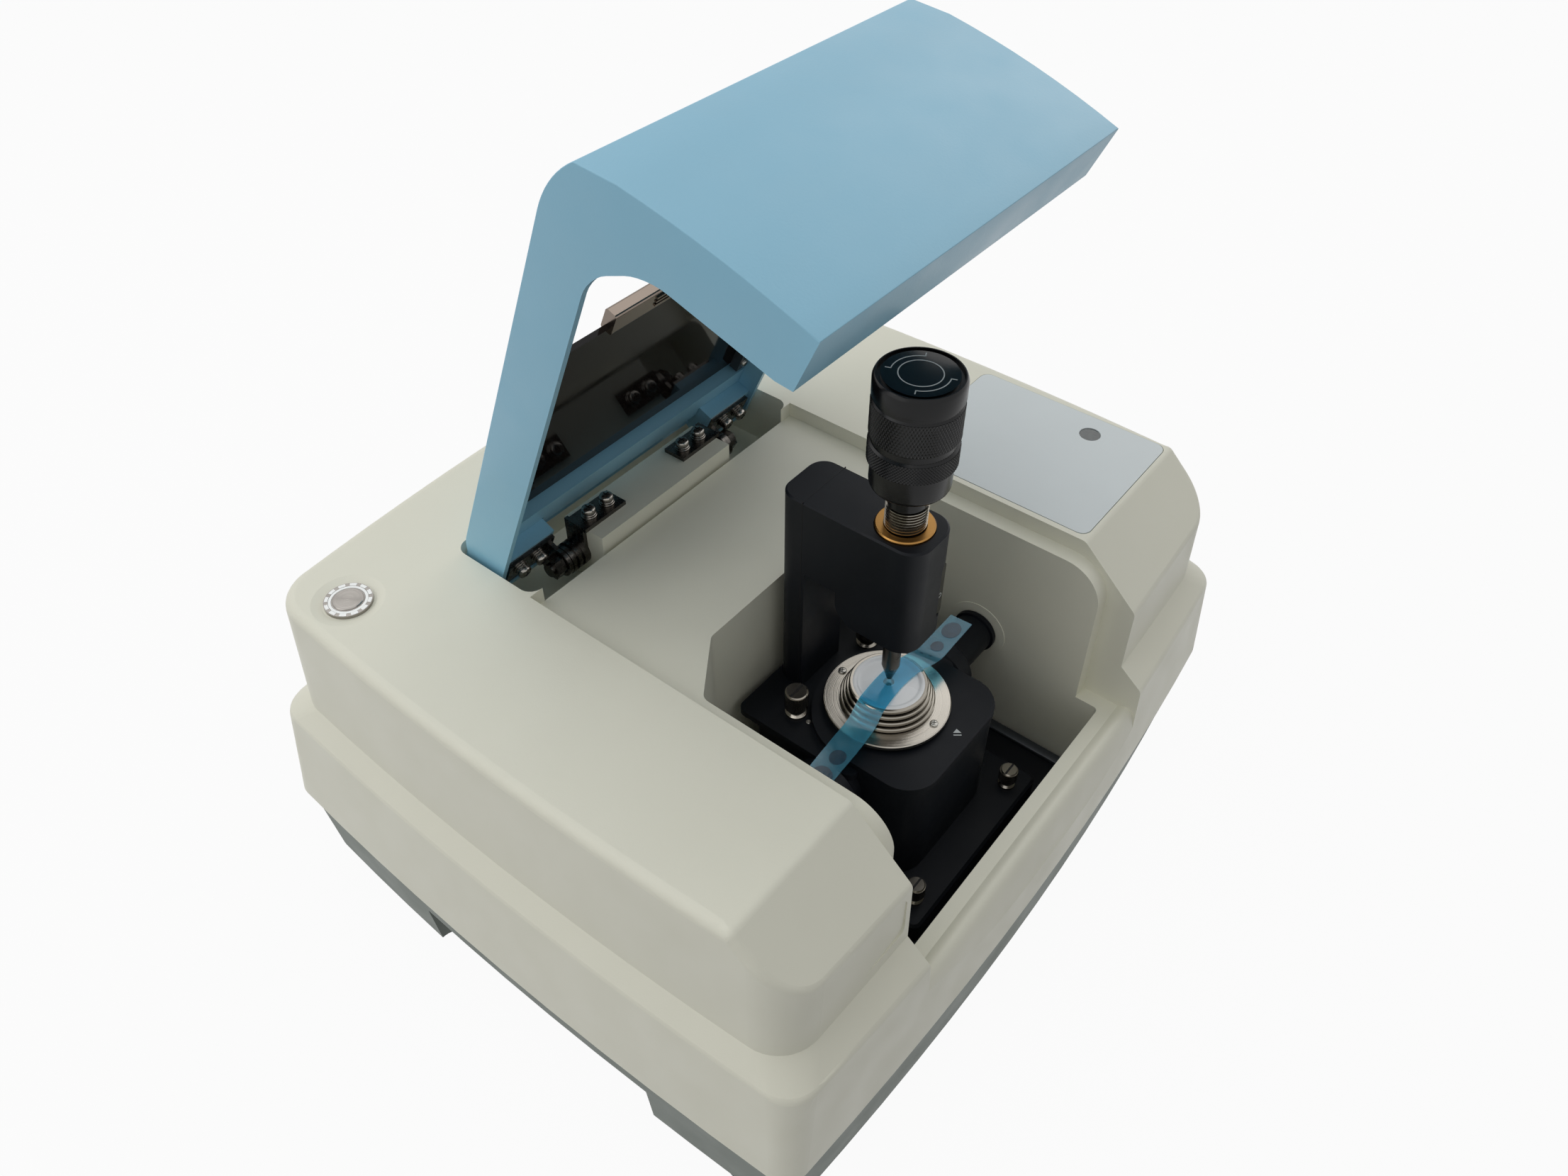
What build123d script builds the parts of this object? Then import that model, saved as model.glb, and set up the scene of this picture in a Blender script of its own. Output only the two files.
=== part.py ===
"""Benchtop FTIR spectrometer with a single-bounce ATR accessory, as an assembly of separate pieces.

Frame: X to the instrument's right, Y to its back, Z up, millimetres, origin on the table
under the middle of the housing. The hinged lid is drawn shut and then swung to its open rest pose.
"""
import math
import os

from build123d import *

os.makedirs("parts", exist_ok=True)

# Housing heights
foot_radius = 16.0
base_bottom_z = 16.0
seam_z = 73.0
shoulder_z = 140.0
groove_z = 152.0
wing_top_z = 228.0

# Housing plan, measured at the middle of each side
seam_half_width = 233.5
seam_half_depth = 201.0
shoulder_half_width = seam_half_width - 7.5
shoulder_half_depth = seam_half_depth - 4.0
groove_half_width = shoulder_half_width - 9.0
groove_front_depth = shoulder_half_depth - 16.0
groove_rear_depth = shoulder_half_depth - 10.0
upper_half_width = groove_half_width - 4.5
upper_front_depth = groove_front_depth - 2.0
upper_rear_depth = groove_rear_depth - 3.0
side_bow = 7.0
front_bow = 11.0
upper_front_bow = 6.0
seam_corner_radius = 14.0
foot_x = seam_half_width - 30.5
foot_y = seam_half_depth - 53.0
shoulder_corner_radius = 18.0
groove_corner_radius = 24.0
upper_corner_radius = 26.0

# Housing mould details
crease_y = 38.0 - upper_front_depth
slope_foot_y = 2.5 - upper_front_depth
slope_foot_z = 196.0
upper_edge_radius = 6.0
slope_foot_radius = 5.0
shoulder_edge_radius = 5.0
cover_wall = 4.0
plaque_x = -158.0
plaque_y = 1.6 - upper_front_depth
plaque_z = 175.0
plaque_width = 64.0
plaque_height = 28.0
base_wall = 3.5
base_inset = 2.5
base_floor = 4.0
base_draft = 4.0
grip_depth = 13.0
grip_length = 170.0
grip_height = 34.0
grip_y = -12.0

# Sample compartment, lid seat and front lip; the bay sits left of the housing middle
bay_x = -12.5
channel_half_width = 110.0
seat_half_width = 100.0
seat_z = 218.5
seat_front_radius = 24.0
compartment_rear_y = -21.0
compartment_corner = 34.0
compartment_corner_depth = 24.0
lip_z = 121.0
lip_inner_y = 24.5 - seam_half_depth
seat_front_y = lip_inner_y + 16.0
bead_y = 10.5 - seam_half_depth
bead_height = 2.0
lip_fade_z = 97.0
floor_top_z = 63.0

# Hinge well behind the seat
well_front_y = 65.0
well_rear_y = 125.0
well_floor_z = 190.0
well_corner_radius = 8.0
block_half_width = 54.0
block_front_y = 67.5
block_rear_y = 97.0
block_top_z = 228.0

# Lid hinge
hinge_y = 87.0
hinge_z = 210.0
lid_open_deg = 66.0
shaft_radius = 4.0
leaf_thickness = 2.5
bracket_inner_x = 24.5
bracket_front_y = 77.5
bracket_rear_y = 92.5
lid_leaf_outer_x = 100.0
lug_radius = 8.5
washer_radius = 8.8
washer_count = 5
nut_across_flats = 12.0
nut_thickness = 6.0
lid_leaf_front_y = 74.0
lid_leaf_rear_y = 91.5
leaf_seat_z = 222.5
leaf_lug_x = 67.4
leaf_screw_y = 81.0
washer_pitch = 2.1
nut_start = 70.4
heel_inner_x = 66.0
heel_front_y = 72.0

# Lid, drawn shut
lid_half_width = 106.0
lid_wall = 3.0
lid_seat_gap = 0.8
lid_top_z = 248.5
lid_bend_y = -203.0
lid_end_z = 126.0
lid_end_inner_y = -189.5
lid_outer_bend_radius = 30.0
lid_hinge_end_y = 93.0
lid_hinge_end_radius = 22.0
lid_heel_z = 219.3
lid_opening_rear_y = 30.0
lid_opening_front_y = -174.0
crossbar_front_y = 59.0
crossbar_rear_y = 71.7
crossbar_z = 232.0
crossbar_thickness = 2.5
crossbar_lip_half_width = 66.0

# Sliding window in the lid
window_thickness = 3.0
window_z = 238.0
window_front_y = -72.0
window_rear_y = 54.0
window_half_width = 98.5
opening_half_width = 92.0
handle_length = 100.0
handle_height = 10.0
rail_depth = 9.0
rail_gap = 0.3
rail_front_y = -165.0
rail_rear_y = 56.0

# Desiccant cover on the right wing
plate_left_x = 101.5
plate_right_x = upper_half_width - 9.5
plate_front_y = crease_y + 2.0
plate_rear_y = -13.0
plate_thickness = 1.5
plate_recess = 1.3
plate_gap = 0.4
plate_corner_radius = 6.0
indicator_x = plate_right_x - 17.0
indicator_y = plate_front_y + 42.0
indicator_radius = 6.5
cartridge_radius = 22.0
cartridge_height = 90.0
cartridge_pitch = 52.0

# Power button on the left wing
button_x = 30.0 - upper_half_width
button_y = upper_rear_depth - 47.0
button_flange_radius = 12.6
button_flange_height = 1.8
button_body_radius = 10.8
button_body_length = 26.0
button_ring_radius = 9.2
button_cap_radius = 8.0
button_dish_radius = 19.0
button_dish_depth = 1.6
button_nut_radius = 14.0

# ATR accessory, on the axis of the compartment
atr_y = -90.4
beam_z = 134.5
accessory_half_width = 66.0
accessory_front_y = -162.0
accessory_rear_y = -30.0
accessory_base_thickness = 15.0
pedestal_half_width = 46.0
pedestal_front_y = -140.0
pedestal_rear_y = -36.0
pedestal_top_z = 152.0
pedestal_radius = 18.0
shelf_half_width = 52.0
shelf_rear_y = -25.0
shelf_front_y = -104.0
crystal_plate_thickness = 4.0
crystal_plate_radius = 39.5
crystal_plate_half_width = 46.0
crystal_plate_front_y = -141.5
ring_z = 158.5
ring_radius = 35.5
ring_thickness = 2.4
collar_radius = 26.0
collar_height = 13.0
disc_radius = 20.6
disc_top_z = 174.1
crystal_radius = 1.5
column_half_width = 18.0
column_rear_y = -26.0
column_front_y = -44.0
arm_front_y = -110.0
arm_top_z = 288.0
arm_step_z = 240.0
arm_bottom_z = 220.0
arm_block_rear_y = -64.0
arm_corner_radius = 10.0
bush_radius = 15.0
bush_height = 20.0
bush_proud = 1.5
spindle_radius = 10.7
neck_radius = 10.0
neck_z = 298.0
spindle_bottom_z = 240.0
bush_z = arm_top_z - bush_height
slot_z = 248.0
slot_length = 30.0
slot_width = 6.0
knob_top_z = 375.5
knob_radius = 21.4
knob_foot_z = neck_z + 11.0
knob_taper_z = knob_foot_z + 13.0
knob_low_band_z = knob_taper_z + 9.0
knob_low_groove_z = knob_low_band_z + 9.0
knob_top_groove_z = knob_low_groove_z + 22.0
groove_width = 2.0
cap_radius = 17.5
cap_depth = 2.0
tip_radius = 4.95
tip_point_radius = 1.6
tip_point_z = 177.5
tip_cone_height = 11.0
tip_top_z = 258.0
film_length = 145.0
film_width = 16.0
film_thickness = 0.4
film_y = -97.0
film_end_z = 168.5
film_top_z = 175.3
port_radius = 20.0
port_flange_radius = 26.0
port_flange_length = 6.0
port_wall = 2.0
port_end_gap = 0.6
thumb_radius = 6.5
thumb_height = 9.0
thumb_shank_radius = 3.0
base_screw_y = -150.0
shelf_screw_x = 34.0
shelf_screw_y = -53.0

# Rear connector panel
panel_left_x = -60.0
panel_right_x = 150.0
panel_y = seam_half_depth - 13.0
panel_top_z = 132.0
panel_bottom_z = 78.0
panel_thickness = 2.0

connector_z = 105.0
inlet_x = -25.0
inlet_width = 30.0
rocker_x = 30.0
rocker_width = 21.0
pivot_radius = 1.2
port_x = 90.0

# Optical bench and the modules on it
bench_bottom_z = 46.0
bench_top_z = 58.0
bench_half_width = seam_half_width - 38.5
bench_half_depth = seam_half_depth - 36.0
bench_post_x = bench_half_width - 25.0
bench_post_y = bench_half_depth - 25.0
mirror_x = 20.0
mirror_bore_radius = 16.0
running_fit = 0.05

# Pieces under the desiccant cover
cartridge_x = 140.0
cartridge_flange = 3.0
card_radius = 11.0
card_thickness = 1.0
plate_mid_x = (plate_left_x + plate_right_x) / 2
plate_mid_y = (plate_front_y + plate_rear_y) / 2
plate_width = plate_right_x - plate_left_x
plate_depth = plate_rear_y - plate_front_y

# Beam windows in the compartment walls
beam_window_radius = 19.0
beam_window_thickness = 3.0
running_gap = 0.3


def bowed_face(half_width, front_depth, rear_depth, bow_x, bow_front, bow_rear, corner):
    """Closed plan outline with four gently bowed sides and round corners, as a sketch."""
    left, right = -half_width + bow_x, half_width - bow_x
    front, rear = -front_depth + bow_front, rear_depth - bow_rear
    middle = (rear - front) / 2 + front
    with BuildSketch(Plane.XY) as plan:
        with BuildLine():
            ThreePointArc((left, front), (0, -front_depth), (right, front))
            ThreePointArc((right, front), (half_width, middle), (right, rear))
            ThreePointArc((right, rear), (0, rear_depth), (left, rear))
            ThreePointArc((left, rear), (-half_width, middle), (left, front))
        make_face()
        fillet(plan.vertices(), corner)
    return plan.sketch


def seam_face(inset=0.0):
    """Plan of the cover at the seam."""
    return bowed_face(seam_half_width - inset, seam_half_depth - inset, seam_half_depth - inset,
                      side_bow, front_bow, front_bow, seam_corner_radius)


def shoulder_face(inset=0.0):
    """Plan of the lower tier just under its shoulder."""
    return bowed_face(shoulder_half_width - inset, shoulder_half_depth - inset, shoulder_half_depth - inset,
                      side_bow, front_bow, front_bow, shoulder_corner_radius)


def groove_face(inset=0.0):
    """Plan of the upper tier where it leaves the shoulder."""
    return bowed_face(groove_half_width - inset, groove_front_depth - inset, groove_rear_depth - inset,
                      side_bow, upper_front_bow, front_bow, groove_corner_radius - inset)


def upper_face(inset=0.0):
    """Plan of the upper tier at the wing tops."""
    return bowed_face(upper_half_width - inset, upper_front_depth - inset, upper_rear_depth - inset,
                      side_bow, upper_front_bow, front_bow, upper_corner_radius - inset)


def slope_wedge(inset=0.0):
    """Triangle in the YZ plane that the front slope takes off the upper tier."""
    run, drop = crease_y - slope_foot_y, wing_top_z - slope_foot_z
    length = math.hypot(run, drop)
    push_y, push_z = inset * drop / length, inset * run / length
    reach = 60.0
    unit_y, unit_z = run / length, drop / length
    top = (crease_y + push_y + reach * unit_y, wing_top_z - push_z + reach * unit_z)
    foot = (slope_foot_y + push_y - reach * unit_y, slope_foot_z - push_z - reach * unit_z)
    return [top, foot, (foot[0], top[1])]


def compartment_face(grow=0.0):
    """Plan of the sample compartment, with its two slanted rear corners."""
    half = seat_half_width + grow
    rear = compartment_rear_y + grow
    with BuildSketch(Plane.XY) as plan:
        with BuildLine():
            Polyline(
                (-half, lip_inner_y - grow),
                (half, lip_inner_y - grow),
                (half, rear - compartment_corner_depth),
                (half - compartment_corner, rear),
                (-half + compartment_corner, rear),
                (-half, rear - compartment_corner_depth),
                close=True,
            )
        make_face()
        fillet(plan.vertices().sort_by(Axis.Y)[2:], 6.0)
        fillet(plan.vertices().sort_by(Axis.Y)[:2], 3.0)
    return plan.sketch


def seat_profile():
    """YZ outline above the lid seat and the front lip, to be cut away between the wings."""
    high = wing_top_z + 40
    ahead = -seam_half_depth - 30
    with BuildSketch(Plane.XY) as profile:
        with BuildLine():
            Line((well_front_y, high), (well_front_y, seat_z))
            Line((well_front_y, seat_z), (seat_front_y + seat_front_radius, seat_z))
            TangentArc((seat_front_y + seat_front_radius, seat_z),
                       (seat_front_y, seat_z - seat_front_radius), tangent=(-1, 0))
            Line((seat_front_y, seat_z - seat_front_radius), (seat_front_y - 1.0, lip_z))
            Line((seat_front_y - 1.0, lip_z), (bead_y + 3 * bead_height, lip_z))
            Spline((bead_y + 3 * bead_height, lip_z), (bead_y, lip_z + bead_height),
                   (-seam_half_depth + 5.0, lip_z - 8.0), (-seam_half_depth + 1.2, lip_fade_z))
            Line((-seam_half_depth + 1.2, lip_fade_z), (ahead, lip_fade_z))
            Line((ahead, lip_fade_z), (ahead, high))
            Line((ahead, high), (well_front_y, high))
        make_face()
    return profile.sketch


def save(piece, name):
    """Label a finished piece and write its STEP file."""
    piece.label = name
    export_step(piece, f"parts/{name}.step")
    print(name, len(piece.solids()), round(piece.volume / 1000, 1))


def swing(piece):
    """Turn a piece that was drawn with the lid shut into the open rest pose."""
    return piece.rotate(Axis((0, hinge_y, hinge_z), (1, 0, 0)), -lid_open_deg)


def block(xs, ys, zs, mode=Mode.ADD):
    """Box given by its X, Y and Z limits."""
    with Locations(((xs[0] + xs[1]) / 2, (ys[0] + ys[1]) / 2, (zs[0] + zs[1]) / 2)):
        Box(xs[1] - xs[0], ys[1] - ys[0], zs[1] - zs[0], mode=mode)


def post(x, y, zs, radius, mode=Mode.ADD):
    """Upright cylinder given by its centre and Z limits."""
    with Locations((x, y, (zs[0] + zs[1]) / 2)):
        Cylinder(radius, zs[1] - zs[0], mode=mode)


def rod(xs, y, z, radius, mode=Mode.ADD):
    """Cylinder along X given by its X limits."""
    with Locations(Location(((xs[0] + xs[1]) / 2, y, z), (0, 90, 0))):
        Cylinder(radius, abs(xs[1] - xs[0]), mode=mode)


def in_bay(piece):
    """Move a piece drawn about the middle of the bay to its place in the housing."""
    return piece.moved(Location((bay_x, 0, 0)))


# Solid two-tier body of the cover, with the front slope taken off
with BuildPart() as cover_body:
    for lower, lower_z, upper, upper_z in (
        (seam_face(), seam_z, shoulder_face(), shoulder_z),
        (shoulder_face(), shoulder_z, groove_face(), groove_z),
        (groove_face(), groove_z, upper_face(), wing_top_z),
    ):
        with BuildSketch(Plane.XY.offset(lower_z)):
            add(lower)
        with BuildSketch(Plane.XY.offset(upper_z)):
            add(upper)
        loft(ruled=True)
    with BuildSketch(Plane.YZ):
        with BuildLine():
            Polyline(*slope_wedge(), close=True)
        make_face()
    extrude(amount=seam_half_width + 20, both=True, mode=Mode.SUBTRACT)
    slope_foot = [e for e in cover_body.edges()
                  if e.center().Y < slope_foot_y + 3 and abs(e.center().Z - slope_foot_z) < 12]
    fillet(slope_foot, slope_foot_radius)
    fillet(cover_body.faces().filter_by(Axis.Z).sort_by(Axis.Z)[-1].edges(), upper_edge_radius)
    shoulder_rim = [e for e in cover_body.edges() if abs(e.center().Z - shoulder_z) < 0.5]
    fillet(shoulder_rim, shoulder_edge_radius)

# Room inside the cover, kept clear of the sample bay and the rear connector panel
with BuildPart() as cover_room:
    for lower, lower_z, upper, upper_z in (
        (seam_face(cover_wall), seam_z - 1, shoulder_face(cover_wall), shoulder_z - cover_wall),
        (shoulder_face(cover_wall), shoulder_z - cover_wall, groove_face(cover_wall), groove_z - cover_wall),
        (groove_face(cover_wall), groove_z - cover_wall, upper_face(cover_wall), wing_top_z - cover_wall),
    ):
        with BuildSketch(Plane.XY.offset(lower_z)):
            add(lower)
        with BuildSketch(Plane.XY.offset(upper_z)):
            add(upper)
        loft(ruled=True)
    with BuildSketch(Plane.YZ):
        with BuildLine():
            Polyline(*slope_wedge(cover_wall), close=True)
        make_face()
    extrude(amount=seam_half_width + 20, both=True, mode=Mode.SUBTRACT)
    bay_left = bay_x - channel_half_width - cover_wall
    bay_right = bay_x + channel_half_width + cover_wall
    block((bay_left, bay_right), (-300, compartment_rear_y + cover_wall), (0, 300), Mode.SUBTRACT)
    block((bay_left, bay_right), (-100, well_rear_y + cover_wall), (well_floor_z - cover_wall, 300),
          Mode.SUBTRACT)
    block((panel_left_x - cover_wall, panel_right_x + cover_wall), (panel_y - cover_wall, 300),
          (0, panel_top_z + cover_wall), Mode.SUBTRACT)

# Top cover moulding
with BuildPart() as top_cover:
    add(cover_body.part)
    add(cover_room.part, mode=Mode.SUBTRACT)
    with BuildSketch(Plane.YZ.offset(bay_x)):
        add(seat_profile())
    extrude(amount=channel_half_width, both=True, mode=Mode.SUBTRACT)
    with BuildSketch(Plane((bay_x, 0, floor_top_z))):
        add(compartment_face(cover_wall))
    extrude(amount=seam_z - floor_top_z + 1)
    with BuildSketch(Plane((bay_x, 0, floor_top_z))):
        add(compartment_face())
    extrude(amount=200, mode=Mode.SUBTRACT)
    with BuildSketch(Plane((bay_x, (well_front_y + well_rear_y) / 2, well_floor_z))):
        RectangleRounded(2 * channel_half_width - 2, well_rear_y - well_front_y, well_corner_radius)
    extrude(amount=100, mode=Mode.SUBTRACT)
    block((bay_x - block_half_width, bay_x + block_half_width), (block_front_y, block_rear_y),
          (well_floor_z - 1, block_top_z))
    with BuildSketch(Plane((plate_mid_x, plate_mid_y, wing_top_z))):
        RectangleRounded(plate_width + 2 * plate_gap, plate_depth + 2 * plate_gap, plate_corner_radius)
    extrude(amount=-plate_recess, mode=Mode.SUBTRACT)
    for side in (-1, 1):
        cartridge_y = plate_mid_y + side * cartridge_pitch / 2
        post(cartridge_x, cartridge_y, (wing_top_z - 12, wing_top_z), cartridge_radius + running_gap,
             Mode.SUBTRACT)
        post(cartridge_x, cartridge_y, (wing_top_z - plate_recess - cartridge_flange, wing_top_z),
             cartridge_radius + 3 + running_gap, Mode.SUBTRACT)
    post(indicator_x, indicator_y, (wing_top_z - plate_recess - card_thickness, wing_top_z),
         card_radius + running_gap, Mode.SUBTRACT)
    with BuildSketch(Plane((button_x, button_y, wing_top_z))):
        Circle(button_dish_radius)
    with BuildSketch(Plane((button_x, button_y, wing_top_z - button_dish_depth))):
        Circle(button_flange_radius + 1)
    loft(ruled=True, mode=Mode.SUBTRACT)
    post(button_x, button_y, (wing_top_z - 20, wing_top_z), button_body_radius + running_gap, Mode.SUBTRACT)
    for side in (-1, 1):
        wall_x = bay_x + side * seat_half_width
        rod((wall_x - side, wall_x + side * beam_window_thickness), atr_y, beam_z,
            beam_window_radius + running_gap, Mode.SUBTRACT)
        rod((wall_x, wall_x + side * 20), atr_y, beam_z, beam_window_radius - 3, Mode.SUBTRACT)
    with BuildSketch(Plane((plaque_x, plaque_y, plaque_z), x_dir=(1, 0, 0), z_dir=(0, -1, 0))):
        RectangleRounded(plaque_width, plaque_height, 4.0)
    extrude(amount=30, mode=Mode.SUBTRACT)
    block((panel_left_x, panel_right_x), (panel_y, 300), (seam_z - 1, panel_top_z), Mode.SUBTRACT)
    for x, half_width in ((inlet_x, inlet_width / 2), (rocker_x, rocker_width / 2), (port_x, 7.0)):
        block((x - half_width - 2, x + half_width + 2), (150, 300), (connector_z - 14, connector_z + 14),
              Mode.SUBTRACT)
save(top_cover.part, "top_cover")

# Base tray with hand grips in its sides
with BuildPart() as base_shell:
    with BuildSketch(Plane.XY.offset(seam_z)):
        add(seam_face(base_inset))
    with BuildSketch(Plane.XY.offset(base_bottom_z)):
        add(seam_face(base_inset + base_draft))
    loft(ruled=True)
    for side in (-1, 1):
        with BuildSketch(Plane((side * seam_half_width, grip_y, base_bottom_z))):
            RectangleRounded(2 * (grip_depth + side_bow), grip_length, 12.0)
        extrude(amount=grip_height, mode=Mode.SUBTRACT)
    with BuildPart(mode=Mode.PRIVATE) as tray_room:
        with BuildSketch(Plane.XY.offset(seam_z + 1)):
            add(seam_face(base_inset + base_wall))
        with BuildSketch(Plane.XY.offset(base_bottom_z + base_floor)):
            add(seam_face(base_inset + base_wall + base_draft))
        loft(ruled=True)
        for side in (-1, 1):
            grip_middle = side * (seam_half_width - grip_depth / 2)
            block((grip_middle - grip_depth - 6, grip_middle + grip_depth + 6),
                  (grip_y - grip_length / 2 - base_wall, grip_y + grip_length / 2 + base_wall),
                  (0, base_bottom_z + grip_height + base_wall), Mode.SUBTRACT)
    add(tray_room.part, mode=Mode.SUBTRACT)
    for x in (-bench_post_x, bench_post_x):
        for y in (-bench_post_y, bench_post_y):
            post(x, y, (base_bottom_z + 1, bench_bottom_z), 12.0)
    block((panel_left_x, panel_right_x), (panel_y, 300), (seam_z - 10, seam_z + 1), Mode.SUBTRACT)
    block((panel_left_x - base_wall, panel_right_x + base_wall), (panel_y - base_wall, panel_y),
          (seam_z - 14, seam_z))
    block((panel_left_x - base_wall, panel_right_x + base_wall), (panel_y - base_wall, panel_y + 6),
          (seam_z - 14, seam_z - 10))
save(base_shell.part, "base_shell")

# Rubber feet
with BuildPart() as rubber_feet:
    for x in (-foot_x, foot_x):
        for y in (-foot_y, foot_y):
            post(x, y, (0, base_bottom_z), foot_radius)
    chamfer(rubber_feet.edges().group_by(Axis.Z)[0], 1.5)
save(rubber_feet.part, "rubber_feet")

# Optical bench plate carried on the tray posts
with BuildPart() as optical_bench:
    with BuildSketch(Plane.XY.offset(bench_bottom_z)):
        RectangleRounded(2 * bench_half_width, 2 * bench_half_depth, 12.0)
    extrude(amount=bench_top_z - bench_bottom_z)
save(optical_bench.part, "optical_bench")

# Floor of the sample compartment
with BuildPart() as compartment_floor:
    with BuildSketch(Plane.XY.offset(bench_top_z)):
        add(compartment_face(cover_wall))
    extrude(amount=floor_top_z - bench_top_z)
save(in_bay(compartment_floor.part), "compartment_floor")

# Interferometer casting: a block with a mirror bore and a beamsplitter slot
with BuildPart() as interferometer_block:
    block((mirror_x - 70, mirror_x + 60), (30, 150), (bench_top_z, bench_top_z + 90))
    with Locations(Location((mirror_x, 90, beam_z - 20), (90, 0, 0))):
        Cylinder(mirror_bore_radius, 130, mode=Mode.SUBTRACT)
    block((mirror_x - 50, mirror_x - mirror_bore_radius - 6), (45, 135), (bench_top_z + 20, 300),
          Mode.SUBTRACT)
    fillet(interferometer_block.edges().filter_by(Axis.Z).group_by(Axis.X)[0], 5.0)
save(interferometer_block.part, "interferometer_block")

# Moving mirror carriage running in the casting bore
with BuildPart() as moving_mirror:
    with Locations(Location((mirror_x, 70, beam_z - 20), (90, 0, 0))):
        Cylinder(mirror_bore_radius - running_fit, 50)
    with Locations(Location((mirror_x, 43, beam_z - 20), (90, 0, 0))):
        Cylinder(mirror_bore_radius - 6, 4)
save(moving_mirror.part, "moving_mirror")

# Beamsplitter in its slanted frame
with BuildPart() as beamsplitter:
    with Locations(Location((mirror_x - 36, 90, bench_top_z + 20 + 30), (0, 0, 0))):
        Box(10, 60, 60)
    with Locations(Location((mirror_x - 36, 90, bench_top_z + 20 + 30), (0, 90, 0))):
        Cylinder(20, 20, mode=Mode.SUBTRACT)
save(beamsplitter.part, "beamsplitter")

# Infrared source with cooling fins
with BuildPart() as ir_source:
    block((130, 180), (60, 120), (bench_top_z, bench_top_z + 60))
    for step in range(5):
        fin_y = 66 + step * 12
        block((134, 176), (fin_y, fin_y + 4), (bench_top_z + 59, bench_top_z + 80))
save(ir_source.part, "ir_source")

# Laser module
with BuildPart() as laser_module:
    block((-190, -155), (20, 150), (bench_top_z, bench_top_z + 30))
save(laser_module.part, "laser_module")

# Detector housing in the left wing
with BuildPart() as detector:
    block((-190, -140), (-110, -70), (bench_top_z, bench_top_z + 95))
    rod((-141, -134), atr_y, beam_z, 14.0)
save(detector.part, "detector")

# Power supply box in the right wing
with BuildPart() as power_supply:
    block((125, 185), (-140, -10), (bench_top_z, bench_top_z + 45))
save(power_supply.part, "power_supply")

# Main circuit board on its spacers
with BuildPart() as main_board:
    block((125, 185), (-5, 55), (bench_top_z + 10, bench_top_z + 12))
    for x in (130, 180):
        for y in (0, 50):
            post(x, y, (bench_top_z, bench_top_z + 10.5), 3.0)
save(main_board.part, "main_board")

# Rear connector panel
with BuildPart() as rear_panel:
    block((panel_left_x + 2, panel_right_x - 2), (panel_y, panel_y + panel_thickness),
          (panel_bottom_z, panel_top_z - 2))
    block((inlet_x - inlet_width / 2, inlet_x + inlet_width / 2), (0, 300),
          (connector_z - 12, connector_z + 12), Mode.SUBTRACT)
    block((rocker_x - rocker_width / 2, rocker_x + rocker_width / 2), (0, 300),
          (connector_z - 12, connector_z + 12), Mode.SUBTRACT)
    block((port_x - 7, port_x + 7), (0, 300), (connector_z - 6, connector_z + 6), Mode.SUBTRACT)
save(rear_panel.part, "rear_panel")

# Mains inlet body with its recess
with BuildPart() as power_inlet:
    block((inlet_x - inlet_width / 2 + 0.2, inlet_x + inlet_width / 2 - 0.2), (panel_y - 22, panel_y + 3),
          (connector_z - 11.8, connector_z + 11.8))
    block((inlet_x - inlet_width / 2 - 3, inlet_x + inlet_width / 2 + 3),
          (panel_y + panel_thickness, panel_y + panel_thickness + 2), (connector_z - 15, connector_z + 15))
    block((inlet_x - 12, inlet_x + 12), (panel_y - 12, 300), (connector_z - 8, connector_z + 8), Mode.SUBTRACT)
    for pin in (-7, 0, 7):
        block((inlet_x + pin - 1, inlet_x + pin + 1), (panel_y - 13, panel_y + 1),
              (connector_z - 2, connector_z + 2))
save(power_inlet.part, "power_inlet")

# Rocker switch bezel
with BuildPart() as switch_bezel:
    block((rocker_x - rocker_width / 2 + 0.2, rocker_x + rocker_width / 2 - 0.2), (panel_y - 12, panel_y + 3),
          (connector_z - 11.8, connector_z + 11.8))
    block((rocker_x - rocker_width / 2 - 2, rocker_x + rocker_width / 2 + 2),
          (panel_y + panel_thickness, panel_y + panel_thickness + 2), (connector_z - 14, connector_z + 14))
    block((rocker_x - rocker_width / 2 + 2, rocker_x + rocker_width / 2 - 2), (panel_y - 10, 300),
          (connector_z - 10, connector_z + 10), Mode.SUBTRACT)
    rod((rocker_x - 9.6, rocker_x + 9.6), panel_y, connector_z, pivot_radius + running_fit, Mode.SUBTRACT)
save(switch_bezel.part, "switch_bezel")

# Rocker of the mains switch
with BuildPart() as switch_rocker:
    with BuildSketch(Plane.YZ.offset(rocker_x)):
        with BuildLine():
            Polyline(
                (panel_y - 5, connector_z - 6.5), (panel_y + 5.5, connector_z - 8.5),
                (panel_y + 3.0, connector_z), (panel_y + 5.5, connector_z + 8.5),
                (panel_y - 5, connector_z + 6.5), close=True,
            )
        make_face()
    extrude(amount=rocker_width / 2 - 2.4, both=True)
    rod((rocker_x - 9.4, rocker_x + 9.4), panel_y, connector_z, pivot_radius)
save(switch_rocker.part, "switch_rocker")

# Data port
with BuildPart() as data_port:
    block((port_x - 6.8, port_x + 6.8), (panel_y - 14, panel_y + 3), (connector_z - 5.8, connector_z + 5.8))
    block((port_x - 5, port_x + 5), (panel_y - 10, 300), (connector_z - 4, connector_z + 4), Mode.SUBTRACT)
    block((port_x - 4, port_x + 4), (panel_y - 11, panel_y + 1), (connector_z - 0.8, connector_z + 0.8))
save(data_port.part, "data_port")

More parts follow.
